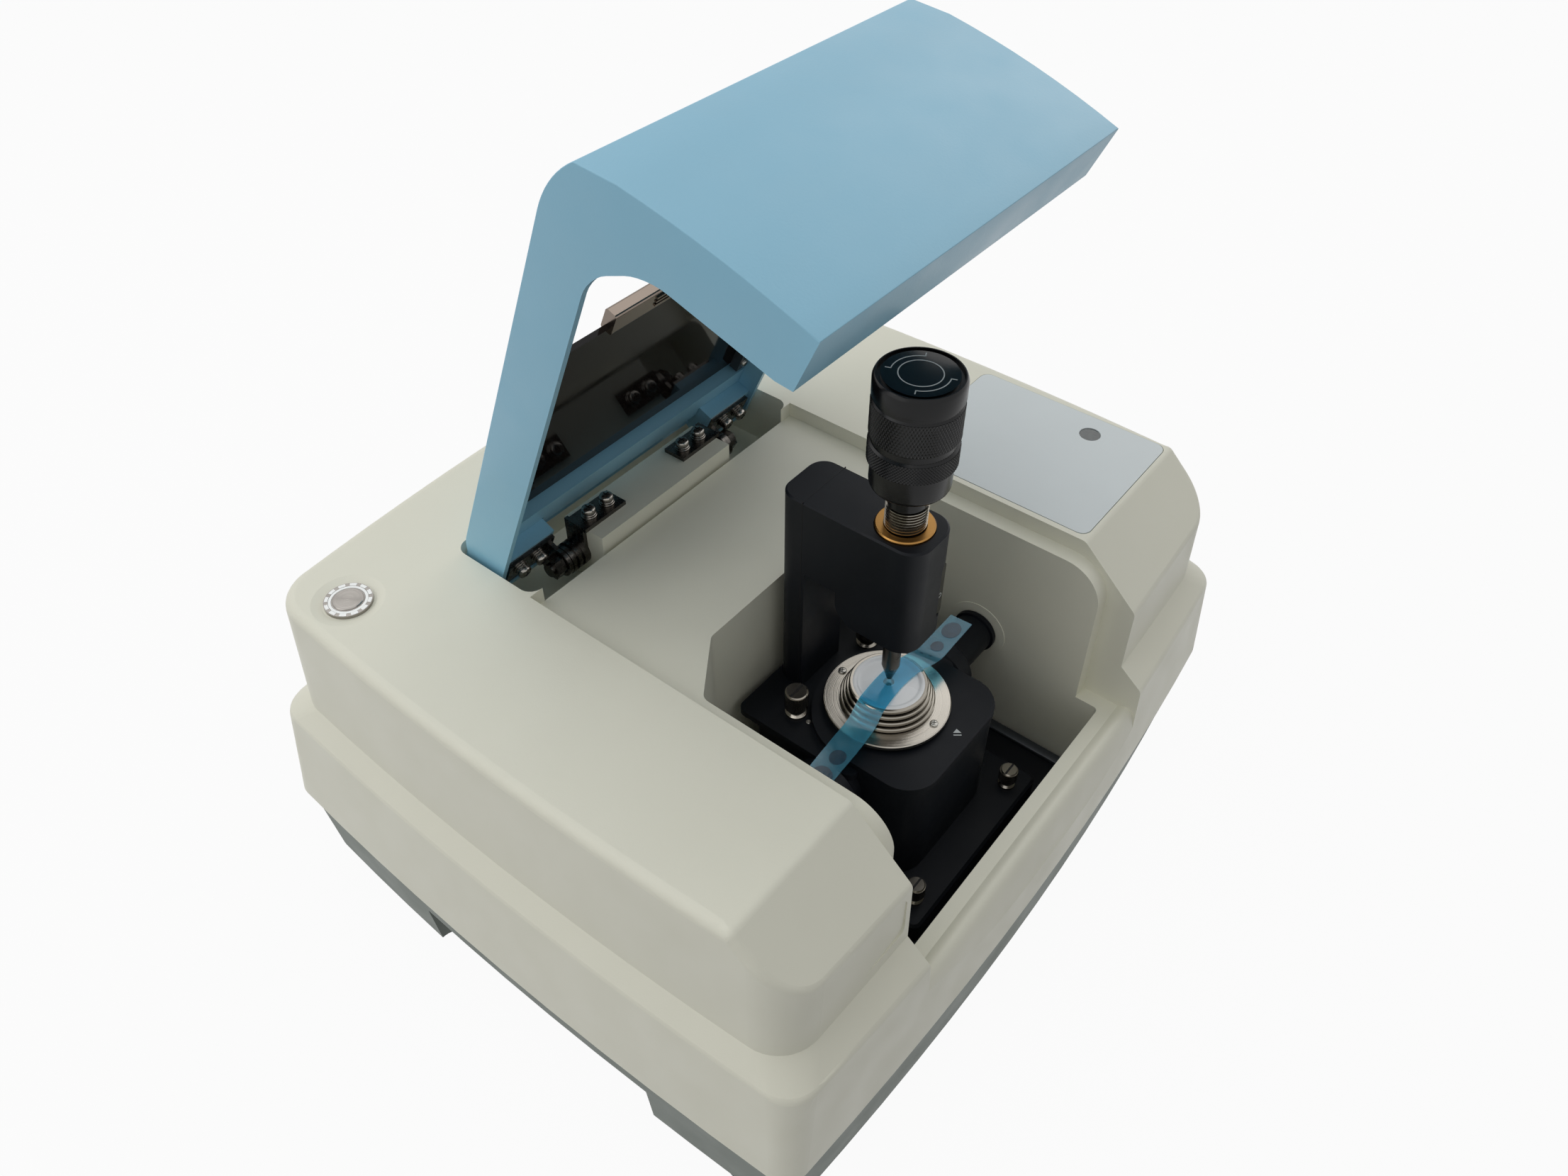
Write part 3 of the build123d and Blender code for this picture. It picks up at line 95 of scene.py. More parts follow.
@dataclass(frozen=True)
class Finish:
    """A procedural surface: a base colour with mottling, micro grain and uneven gloss."""

    name: str
    colour: Colour
    roughness: float = 0.5
    metallic: float = 0.0
    mottle: float = 0.04
    mottle_scale: float = 14.0
    grain_scale: float = 900.0
    grain_depth: float = 0.00002
    gloss_swing: float = 0.06
    specular: float = 0.5

    def shader(self, tree: Tree) -> bpy.types.Node:
        """Return the material's principled shader with its plain sockets set."""
        shader = tree.nodes["Principled BSDF"]
        shader.inputs["Metallic"].default_value = self.metallic
        shader.inputs["Specular IOR Level"].default_value = self.specular
        return shader

    def coordinates(self, tree: Tree) -> Socket:
        """Return the object coordinates that every pattern is laid out on."""
        return tree.nodes.new("ShaderNodeTexCoord").outputs["Object"]

    def noise(self, tree: Tree, where: Socket, scale: float, detail: float = 3.0) -> Socket:
        """Add a noise pattern.

        Args:
            tree: Node tree to add it to.
            where: Coordinates that it reads.
            scale: Cells per metre.
            detail: Octaves of detail.

        Returns:
            The pattern's value from 0 to 1.
        """
        node = tree.nodes.new("ShaderNodeTexNoise")
        node.inputs["Scale"].default_value = scale
        node.inputs["Detail"].default_value = detail
        tree.links.new(where, node.inputs["Vector"])
        return node.outputs["Fac"]

    def ramp(self, tree: Tree, value: Socket, low: float, high: float,
             out_low: float, out_high: float) -> Socket:
        """Map a value from one range to another.

        Args:
            tree: Node tree to add the map to.
            value: Value that is mapped.
            low: Value that gives the lowest result.
            high: Value that gives the highest result.
            out_low: Lowest result.
            out_high: Highest result.

        Returns:
            The mapped value.
        """
        node = tree.nodes.new("ShaderNodeMapRange")
        for socket, number in (("From Min", low), ("From Max", high),
                               ("To Min", out_low), ("To Max", out_high)):
            node.inputs[socket].default_value = number
        tree.links.new(value, node.inputs["Value"])
        return node.outputs["Result"]

    def grain(self, tree: Tree, where: Socket) -> Socket:
        """Return the height that the bump follows."""
        return self.noise(tree, where, self.grain_scale, 2.0)

    def material(self) -> bpy.types.Material:
        """Build the material, or return it if it was built before.

        The name has a prefix, because the frame brings plain materials with the slots' names.

        Returns:
            The material.
        """
        name = f"scene_{self.name}"
        if name in bpy.data.materials:
            return bpy.data.materials[name]
        made = bpy.data.materials.new(name)
        made.use_nodes = True
        tree = made.node_tree
        shader = self.shader(tree)
        where = self.coordinates(tree)
        value = self.ramp(tree, self.noise(tree, where, self.mottle_scale), *NOISE_RANGE,
                          1.0 - self.mottle, 1.0 + self.mottle)
        tint = tree.nodes.new("ShaderNodeHueSaturation")
        tint.inputs["Color"].default_value = self.colour
        tree.links.new(value, tint.inputs["Value"])
        tree.links.new(tint.outputs["Color"], shader.inputs["Base Color"])
        gloss = self.ramp(tree, self.noise(tree, where, self.mottle_scale * GLOSS_FINER), *NOISE_RANGE,
                          max(0.02, self.roughness - self.gloss_swing),
                          min(1.0, self.roughness + self.gloss_swing))
        tree.links.new(gloss, shader.inputs["Roughness"])
        bump = tree.nodes.new("ShaderNodeBump")
        bump.inputs["Strength"].default_value = 1.0
        bump.inputs["Distance"].default_value = self.grain_depth
        tree.links.new(self.grain(tree, where), bump.inputs["Height"])
        tree.links.new(bump.outputs["Normal"], shader.inputs["Normal"])
        self.extra(tree, shader, where)
        return made

    def extra(self, tree: Tree, shader: bpy.types.Node, where: Socket) -> None:
        """Add what a special finish needs beyond the common surface."""


@dataclass(frozen=True)
class Turned(Finish):
    """Metal turned on a lathe, with fine rings across an axis."""

    axis: Axis = Axis.Z
    ring_scale: float = 1600.0
    across_scale: float = 40.0

    def grain(self, tree: Tree, where: Socket) -> Socket:
        """Lay rings along the turning axis, softened by noise.

        Args:
            tree: Node tree to add them to.
            where: Coordinates that they follow.

        Returns:
            The height of the rings.
        """
        node = tree.nodes.new("ShaderNodeTexNoise")
        mapping = tree.nodes.new("ShaderNodeMapping")
        stretch = [self.across_scale] * 3
        stretch[self.axis.value] = self.ring_scale
        mapping.inputs["Scale"].default_value = stretch
        tree.links.new(where, mapping.inputs["Vector"])
        node.inputs["Scale"].default_value = 1.0
        tree.links.new(mapping.outputs["Vector"], node.inputs["Vector"])
        return node.outputs["Fac"]


@dataclass(frozen=True)
class Faced(Finish):
    """Flat metal face turned on a lathe, with fine rings round a centre."""

    centre: Pair = (0.0, 0.0)
    ring_scale: float = 2600.0

    def grain(self, tree: Tree, where: Socket) -> Socket:
        """Lay rings that follow the distance from the centre.

        Args:
            tree: Node tree to add them to.
            where: Coordinates that they follow.

        Returns:
            The height of the rings.
        """
        mapping = tree.nodes.new("ShaderNodeMapping")
        mapping.inputs["Location"].default_value = (-self.centre[0], -self.centre[1], 0.0)
        mapping.inputs["Scale"].default_value = (1.0, 1.0, 0.0)
        distance = tree.nodes.new("ShaderNodeVectorMath")
        distance.operation = "LENGTH"
        rings = tree.nodes.new("ShaderNodeTexNoise")
        rings.noise_dimensions = "1D"
        rings.inputs["Scale"].default_value = self.ring_scale
        rings.inputs["Detail"].default_value = 1.0
        tree.links.new(where, mapping.inputs["Vector"])
        tree.links.new(mapping.outputs["Vector"], distance.inputs[0])
        tree.links.new(distance.outputs["Value"], rings.inputs["W"])
        return rings.outputs["Fac"]


@dataclass(frozen=True)
class Sheet(Finish):
    """Clear or smoked sheet that light passes through."""

    clear: float = 0.8
    ior: float = 1.49

    def extra(self, tree: Tree, shader: bpy.types.Node, where: Socket) -> None:
        """Let light through the sheet."""
        shader.inputs["Transmission Weight"].default_value = self.clear
        shader.inputs["IOR"].default_value = self.ior


@dataclass(frozen=True)
class Lit(Finish):
    """Translucent plastic with a faint light behind it."""

    strength: float = 0.5

    def extra(self, tree: Tree, shader: bpy.types.Node, where: Socket) -> None:
        """Add the glow."""
        shader.inputs["Emission Color"].default_value = self.colour
        shader.inputs["Emission Strength"].default_value = self.strength


COVER = Finish("cover_cream", linear(228, 227, 211), 0.46, mottle=0.012, grain_scale=1300,
               grain_depth=0.00004)
LID = Finish("lid_blue", linear(138, 190, 214), 0.34, mottle=0.015, grain_scale=800, grain_depth=0.00006)
BASE = Finish("base_green", linear(128, 135, 129), 0.55, mottle=0.02, grain_scale=1500, grain_depth=0.00003,
              specular=0.2)
RUBBER = Finish("foot_rubber", linear(34, 34, 35), 0.8, mottle=0.1, grain_depth=0.00005)
FLOOR_BLACK = Finish("floor_black", linear(16, 18, 22), 0.5, mottle=0.1, grain_scale=2400,
                     grain_depth=0.00004, specular=0.16)
CASTING = Finish("bench_metal", linear(176, 178, 180), 0.45, 0.9, mottle=0.05, grain_scale=1100,
                 grain_depth=0.00006)
ANODISED = Finish("anodised_black", linear(17, 20, 25), 0.44, mottle=0.08, grain_scale=3200,
                  grain_depth=0.00003, specular=0.16)
KNOB = Turned("knob_black", linear(9, 10, 12), 0.26, mottle=0.05, grain_depth=0.00002, specular=0.28)
CAP = Finish("cap_black", linear(10, 12, 14), 0.1, 0.0, mottle=0.03, grain_depth=0.000004, gloss_swing=0.03)
STEEL = Turned("turned_steel", linear(148, 143, 134), 0.2, 1.0, mottle=0.06, grain_depth=0.00005)
FACED_STEEL = Faced("faced_steel", linear(172, 167, 158), 0.24, 1.0, mottle=0.05, grain_depth=0.00005,
                    centre=(BAY_X, ATR_Y))
TIP = Turned("tip_steel", linear(104, 102, 98), 0.3, 1.0, mottle=0.06, grain_depth=0.00004)
BLACK_NICKEL = Finish("black_nickel", linear(92, 89, 85), 0.26, 1.0, mottle=0.14, mottle_scale=120,
                      grain_scale=1200, grain_depth=0.00004)
# The hinge screws are black nickel like the brackets; their lighter colour is a painted highlight on the
# glossy heads and washers.
NICKEL_HEAD_HIGHLIGHT = Finish("nickel_head_highlight", linear(150, 146, 140), 0.24, 1.0, mottle=0.14, mottle_scale=160,
                     grain_scale=1200, grain_depth=0.00004)
SCREW = Finish("screw_steel", linear(168, 166, 160), 0.3, 1.0, mottle=0.12, mottle_scale=120,
               grain_scale=1200, grain_depth=0.00004)
RECESS = Finish("recess_shadow", linear(18, 18, 19), 0.6, 0.4, mottle=0.1, mottle_scale=120)
BRASS = Turned("bush_brass", linear(158, 118, 66), 0.3, 1.0, mottle=0.06, grain_depth=0.00004)
CHROME = Finish("grip_chrome", linear(128, 117, 108), 0.14, 1.0, mottle=0.03, grain_depth=0.000005)
PLATE = Finish("plate_silver", linear(220, 227, 228), 0.5, mottle=0.015, grain_scale=2600,
               grain_depth=0.00002, specular=0.2)
BUTTON = Faced("button_steel", linear(152, 148, 143), 0.2, 1.0, mottle=0.05, grain_depth=0.00008,
               centre=(BUTTON_X, BUTTON_Y))
RING = Lit("ring_light", linear(236, 238, 236), 0.3, strength=0.15)
RAIL = Finish("rail_grey", linear(62, 66, 70), 0.4, 0.3, mottle=0.05, grain_scale=1500)
SMOKE = Sheet("window_smoke", linear(20, 16, 15), 0.06, mottle=0.02, grain_scale=60, grain_depth=0.000004,
              gloss_swing=0.03, specular=0.12, clear=0.03)
GLASS = Sheet("optic_glass", linear(225, 238, 236), 0.04, mottle=0.01, grain_scale=60, grain_depth=0.000002,
              gloss_swing=0.02, clear=0.9)
FILM = Sheet("film_blue", linear(118, 208, 236), 0.12, mottle=0.03, mottle_scale=60, grain_scale=160,
             grain_depth=0.00003, specular=0.1, clear=0.84)
BLISTER = Sheet("film_blister", linear(70, 120, 146), 0.12, mottle=0.2, mottle_scale=260, grain_scale=700,
                grain_depth=0.00004, specular=0.1, clear=0.8)
PTFE = Finish("disc_white", linear(243, 246, 248), 0.3, mottle=0.01, grain_scale=1600, grain_depth=0.00001)
PLASTIC = Finish("black_plastic", linear(28, 28, 30), 0.45, mottle=0.06, grain_scale=1800,
                 grain_depth=0.00003)
SHEET_STEEL = Finish("sheet_steel", linear(190, 190, 186), 0.45, 0.3, mottle=0.03)
PORT = Finish("port_metal", linear(190, 190, 192), 0.25, 1.0, mottle=0.05)
BOARD = Finish("board_green", linear(28, 92, 52), 0.4, mottle=0.08, mottle_scale=200)
CARD = Finish("card_paper", linear(84, 104, 128), 0.7, mottle=0.35, mottle_scale=260)
CARTRIDGE = Finish("cartridge_white", linear(222, 222, 216), 0.5, mottle=0.02)
# Dark steel for the core under the spindle thread and inside the collar ribs: painted shade in the thread
# roots and between the ribs.
THREAD_ROOT_SHADE = Finish("thread_root", linear(40, 38, 36), 0.4, 0.8, mottle=0.1, mottle_scale=200)
MARK = Finish("mark_paint", linear(190, 196, 196), 0.5, mottle=0.03)

NODE_FINISH: dict[Finish, tuple[str, ...]] = {
    COVER: ("top_cover",),
    LID: ("lid_shell", "lid_crossbar"),
    BASE: ("base_shell",),
    RUBBER: ("rubber_feet",),
    FLOOR_BLACK: ("compartment_floor",),
    CASTING: ("optical_bench", "interferometer_block", "ir_source", "laser_module", "detector",
              "moving_mirror"),
    ANODISED: ("accessory_base", "accessory_pedestal", "port_tubes", "crystal_plate", "press_arm"),
    KNOB: ("clamp_knob",),
    # force_indicator takes the black cap finish as painted shade: the indicator sits in a slot that shows
    # black.
    CAP: ("knob_cap", "force_indicator"),
    STEEL: ("threaded_collar", "press_spindle", "base_thumbscrew_left", "base_thumbscrew_right",
            "shelf_thumbscrew_left", "shelf_thumbscrew_right", "crystal"),
    FACED_STEEL: ("ring_plate",),
    TIP: ("pressure_tip",),
    BLACK_NICKEL: ("hinge_brackets", "hinge_leaves", "hinge_shafts", "hinge_washers", "bracket_screws",
                   "leaf_screws"),
    BRASS: ("bronze_bush",),
    CHROME: ("window_handle",),
    PLATE: ("desiccant_cover",),
    BUTTON: ("button_bezel", "button_cap"),
    RING: ("button_ring",),
    RAIL: ("window_rails",),
    SMOKE: ("window_panel",),
    GLASS: ("beamsplitter", "beam_windows", "indicator_window"),
    FILM: ("protective_film",),
    PTFE: ("sealing_disc",),
    PLASTIC: ("power_inlet", "switch_bezel", "switch_rocker", "button_nut"),
    SHEET_STEEL: ("power_supply", "rear_panel"),
    PORT: ("data_port",),
    BOARD: ("main_board",),
    CARD: ("humidity_card",),
    CARTRIDGE: ("desiccant_cartridges",),
}


def dress_nodes() -> None:
    """Give every carried-over solid its finish."""
    for finish, names in NODE_FINISH.items():
        for name in names:
            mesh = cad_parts[name].data
            mesh.materials.clear()
            mesh.materials.append(finish.material())
            log.info("dressed %s as %s", name, finish.name)


def finish_piece(bm: Mesh, name: str, body: str, finishes: list[Finish],
                 smooth_deg: float = 35.0, replaced: tuple[str, ...] = ()) -> Piece:
    """Turn a bmesh into a piece of the scene that rides on a body.

    Args:
        bm: Shape in place, in metres; it is freed here.
        name: Name of the piece.
        body: Body that the piece rides on.
        finishes: Finishes in the order of the faces' material indexes.
        smooth_deg: Edges flatter than this shade smooth.
        replaced: Nodes of the frame that this piece stands for.

    Returns:
        The new object.
    """
    bmesh.ops.remove_doubles(bm, verts=bm.verts, dist=1e-7)
    bmesh.ops.recalc_face_normals(bm, faces=bm.faces)
    for face in bm.faces:
        face.smooth = True
    for edge in bm.edges:
        edge.smooth = len(edge.link_faces) == 2 and edge.calc_face_angle(0.0) < math.radians(smooth_deg)
    mesh = bpy.data.meshes.new(name)
    bm.to_mesh(mesh)
    bm.free()
    piece = bpy.data.objects.new(name, mesh)
    bpy.context.scene.collection.objects.link(piece)
    for finish in finishes:
        mesh.materials.append(finish.material())
    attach(piece, body)
    if replaced:
        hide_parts(*replaced)
    log.info("built %s on %s with %d faces", name, body, len(mesh.polygons))
    return piece


def paint_new(bm: Mesh, old_verts: set[bmesh.types.BMVert], old_faces: set[bmesh.types.BMFace],
              material: int) -> Verts:
    """Give the new faces a material index and return the new vertices.

    Args:
        bm: Mesh that was added to.
        old_verts: Vertices that it had before.
        old_faces: Faces that it had before.
        material: Material index of the new faces.

    Returns:
        The new vertices.
    """
    for face in bm.faces:
        if face not in old_faces:
            face.material_index = material
    return [vert for vert in bm.verts if vert not in old_verts]


def turned_profile(bm: Mesh, points: list[Pair], steps: int = 48, material: int = 0) -> Verts:
    """Spin a radius-and-height outline round the Z axis through the origin.

    Args:
        bm: Mesh to add to.
        points: Radius and height pairs, in metres.
        steps: Number of segments round.
        material: Material index of the faces.

    Returns:
        The new vertices.
    """
    old_verts, old_faces = set(bm.verts), set(bm.faces)
    verts = [bm.verts.new((radius, 0.0, height)) for radius, height in points]
    edges = [bm.edges.new(pair) for pair in zip(verts, verts[1:])]
    bmesh.ops.spin(bm, geom=verts + edges, cent=(0, 0, 0), axis=(0, 0, 1), angle=2 * math.pi, steps=steps,
                   use_merge=True)
    return paint_new(bm, old_verts, old_faces, material)


def box(bm: Mesh, low: Triple, high: Triple, material: int = 0, round_by: float = 0.0) -> Verts:
    """Add a block between two corners, with rounded edges if asked.

    Args:
        bm: Mesh to add to.
        low: Lowest corner.
        high: Highest corner.
        material: Material index of the faces.
        round_by: Radius of the edges.

    Returns:
        The new vertices.
    """
    old_verts, old_faces = set(bm.verts), set(bm.faces)
    made = bmesh.ops.create_cube(bm, size=1.0)["verts"]
    size = [b - a for a, b in zip(low, high)]
    middle = [(a + b) / 2 for a, b in zip(low, high)]
    bmesh.ops.scale(bm, verts=made, vec=size)
    bmesh.ops.translate(bm, verts=made, vec=middle)
    if round_by > 0:
        edges = list({edge for vert in made for edge in vert.link_edges})
        bmesh.ops.bevel(bm, geom=edges, offset=round_by, affect="EDGES", segments=2, profile=0.5, material=-1)
    return paint_new(bm, old_verts, old_faces, material)


def arc_strip(bm: Mesh, radius: float, width: float, height: float, start_deg: float,
              span_deg: float, material: int = 0) -> Verts:
    """Add a flat strip bent round the Z axis.

    Args:
        bm: Mesh to add to.
        radius: Middle radius of the strip.
        width: Width across the radius.
        height: Thickness along Z.
        start_deg: Angle where it starts.
        span_deg: Angle that it covers.
        material: Material index of the faces.

    Returns:
        The new vertices.
    """
    old_verts, old_faces = set(bm.verts), set(bm.faces)
    corners = [bm.verts.new((radius + dx, 0.0, dz)) for dx, dz in
               ((-width / 2, 0), (width / 2, 0), (width / 2, height), (-width / 2, height))]
    section = bm.faces.new(corners)
    turn(bm, corners, math.radians(start_deg))
    steps = max(2, int(span_deg / 6))
    bmesh.ops.spin(bm, geom=[section] + list(section.edges) + corners, cent=(0, 0, 0), axis=(0, 0, 1),
                   angle=math.radians(span_deg), steps=steps, use_merge=span_deg > 359)
    return paint_new(bm, old_verts, old_faces, material)


def move(bm: Mesh, verts: Verts, to: Triple) -> None:
    """Shift vertices by a vector."""
    bmesh.ops.translate(bm, verts=verts, vec=to)


def turn(bm: Mesh, verts: Verts, angle: float, axis: str = "Z") -> None:
    """Turn vertices about an axis through the origin, by an angle in radians."""
    bmesh.ops.rotate(bm, verts=verts, cent=(0, 0, 0), matrix=Matrix.Rotation(angle, 3, axis))


def swing(bm: Mesh, verts: Verts) -> None:
    """Turn vertices drawn with the lid shut into its open rest pose."""
    bmesh.ops.rotate(bm, verts=verts, cent=(0, HINGE_Y, HINGE_Z), matrix=Matrix.Rotation(LID_OPEN, 3, "X"))


@dataclass(frozen=True)
class PanScrew:
    """Pan-head screw with a cross recess, on its spring washer and plain washers."""

    head_radius: float = 0.0040
    head_height: float = 0.0028
    washers: tuple[Pair, ...] = ((0.0045, 0.0009), (0.0040, 0.0011), (0.0038, 0.0011))
    cross: float = 0.0021
    slot_width: float = 0.0008
    slot_depth: float = 0.0006
    slot_proud: float = 0.00006
    washer_soft: float = 0.22
    washer_step: float = 0.0009
    wall_share: float = 0.5
    crown: tuple[Pair, ...] = ((0.93, 0.26), (0.76, 0.1), (0.5, 0.02))
    steps: int = 28

    def build(self, bm: Mesh) -> Verts:
        """Add the screw standing on the origin and return its vertices."""
        outline = [(0.0, 0.0)]
        level = 0.0
        for radius, height in self.washers:
            soft = height * self.washer_soft
            outline += [(radius - soft, level), (radius, level + soft), (radius, level + height - soft),
                        (radius - soft, level + height), (radius - self.washer_step, level + height)]
            level += height
        rim, top = self.head_radius, level + self.head_height
        outline += [(rim, level), (rim, level + self.wall_share * self.head_height)]
        outline += [(rim * share, top - drop * self.head_height) for share, drop in self.crown]
        outline.append((0.0, top))
        verts = turned_profile(bm, outline, steps=self.steps)
        half = self.slot_width / 2
        for long_x, long_y in ((self.cross, half), (half, self.cross)):
            verts += box(bm, (-long_x, -long_y, top - self.slot_depth),
                         (long_x, long_y, top + self.slot_proud), material=1)
        return verts


@dataclass
class LidSkin:
    """Lid shell with softened outer edges and a round inner corner in each cheek."""

    edge_radius: float = 0.0028
    corner_radius: float = 0.011
    outer_x: float = 0.1058
    outer_low: float = 0.226
    leg_front: float = -0.197
    corners: tuple[Pair, ...] = ((-0.1805, 0.196), (-0.158, 0.2193))
    corner_reach: float = 0.001
    corner_segments: int = 6
    edge_segments: int = 4
    weld: float = 1e-6
    flat_angle: float = math.radians(0.6)
    sharp_angle: float = math.radians(30)

    def shut(self, place: Vector) -> Vector:
        """Return where a point of the open lid lies with the lid drawn shut."""
        pivot = Vector((0, HINGE_Y, HINGE_Z))
        return Matrix.Rotation(-LID_OPEN, 3, "X") @ (place - pivot) + pivot

    def is_outer(self, edge: bmesh.types.BMEdge) -> bool:
        """Tell whether an edge runs round the outer face of a cheek.

        Args:
            edge: Edge of the open lid.

        Returns:
            True for a sharp edge of the outer face.
        """
        for vert in edge.verts:
            place = self.shut(vert.co)
            on_side = abs(place.x - BAY_X) > self.outer_x
            if not on_side or (place.z < self.outer_low and place.y > self.leg_front):
                return False
        return edge.calc_face_angle(0.0) > self.sharp_angle

    def is_corner(self, edge: bmesh.types.BMEdge) -> bool:
        """Tell whether an edge is one of the inner corners of a cheek.

        Args:
            edge: Edge of the open lid.

        Returns:
            True for an edge that runs through one of the corners.
        """
        ends = [self.shut(vert.co) for vert in edge.verts]
        return any(all(math.hypot(end.y - y, end.z - z) < self.corner_reach for end in ends)
                   for y, z in self.corners)

    def build(self) -> Piece:
        """Build the softened copy of the lid shell."""
        bm = bmesh.new()
        bm.from_mesh(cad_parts["lid_shell"].data)
        bmesh.ops.remove_doubles(bm, verts=bm.verts, dist=self.weld)
        bmesh.ops.dissolve_limit(bm, angle_limit=self.flat_angle, verts=bm.verts, edges=bm.edges)
        for chosen, radius, segments in ((self.is_corner, self.corner_radius, self.corner_segments),
                                         (self.is_outer, self.edge_radius, self.edge_segments)):
            edges = [edge for edge in bm.edges if chosen(edge)]
            log.info("softening %d lid edges by %.1f mm", len(edges), radius * 1000)
            bmesh.ops.bevel(bm, geom=edges, offset=radius, affect="EDGES", segments=segments, profile=0.5,
                            material=-1, clamp_overlap=True)
        bmesh.ops.triangulate(bm, faces=list(bm.faces))
        return finish_piece(bm, "lid_skin", "lid", [LID], smooth_deg=28,
                            replaced=("lid_shell",))


@dataclass
class HingeHardware:
    """Screws of the hinge brackets and lid leaves."""

    bracket_x: tuple[float, ...] = (-0.046, -0.032, 0.032, 0.046)
    leaf_x: tuple[float, ...] = (-0.092, -0.079, 0.079, 0.092)
    bracket_y: float = HINGE_Y - 0.002
    bracket_top: float = 0.2305
    leaf_under: float = 0.220
    leaf_y: float = 0.081
    rail_x: float = 0.0982
    rail_under: float = 0.232
    rail_places: tuple[float, ...] = (0.050, -0.020, -0.090, -0.158)
    screw: PanScrew = PanScrew()
    rail_screw: PanScrew = PanScrew(head_radius=0.0026, head_height=0.0014, washers=((0.0030, 0.0004),),
                                    cross=0.0014, slot_width=0.0005)

    def bracket_screws(self) -> Piece:
        """Build the four screws of the fixed brackets."""
        bm = bmesh.new()
        for place in self.bracket_x:
            verts = self.screw.build(bm)
            move(bm, verts, (BAY_X + place, self.bracket_y, self.bracket_top))
        return finish_piece(bm, "bracket_screw_heads", "housing", [NICKEL_HEAD_HIGHLIGHT, RECESS],
                            replaced=("bracket_screws",))

    def leaf_screws(self) -> Piece:
        """Build the four screws of the lid leaves."""
        bm = bmesh.new()
        for place in self.leaf_x:
            verts = self.screw.build(bm)
            turn(bm, verts, math.pi, "X")
            move(bm, verts, (BAY_X + place, self.leaf_y, self.leaf_under))
            swing(bm, verts)
        return finish_piece(bm, "leaf_screw_heads", "lid", [NICKEL_HEAD_HIGHLIGHT, RECESS],
                            replaced=("leaf_screws",))

    def rail_screws(self) -> Piece:
        """Build the small screws at the hinge ends of the window rails."""
        bm = bmesh.new()
        for side in (-1, 1):
            for along in self.rail_places:
                verts = self.rail_screw.build(bm)
                turn(bm, verts, math.pi, "X")
                move(bm, verts, (BAY_X + side * self.rail_x, along, self.rail_under))
                swing(bm, verts)
        return finish_piece(bm, "rail_screw_heads", "lid", [SCREW, RECESS])


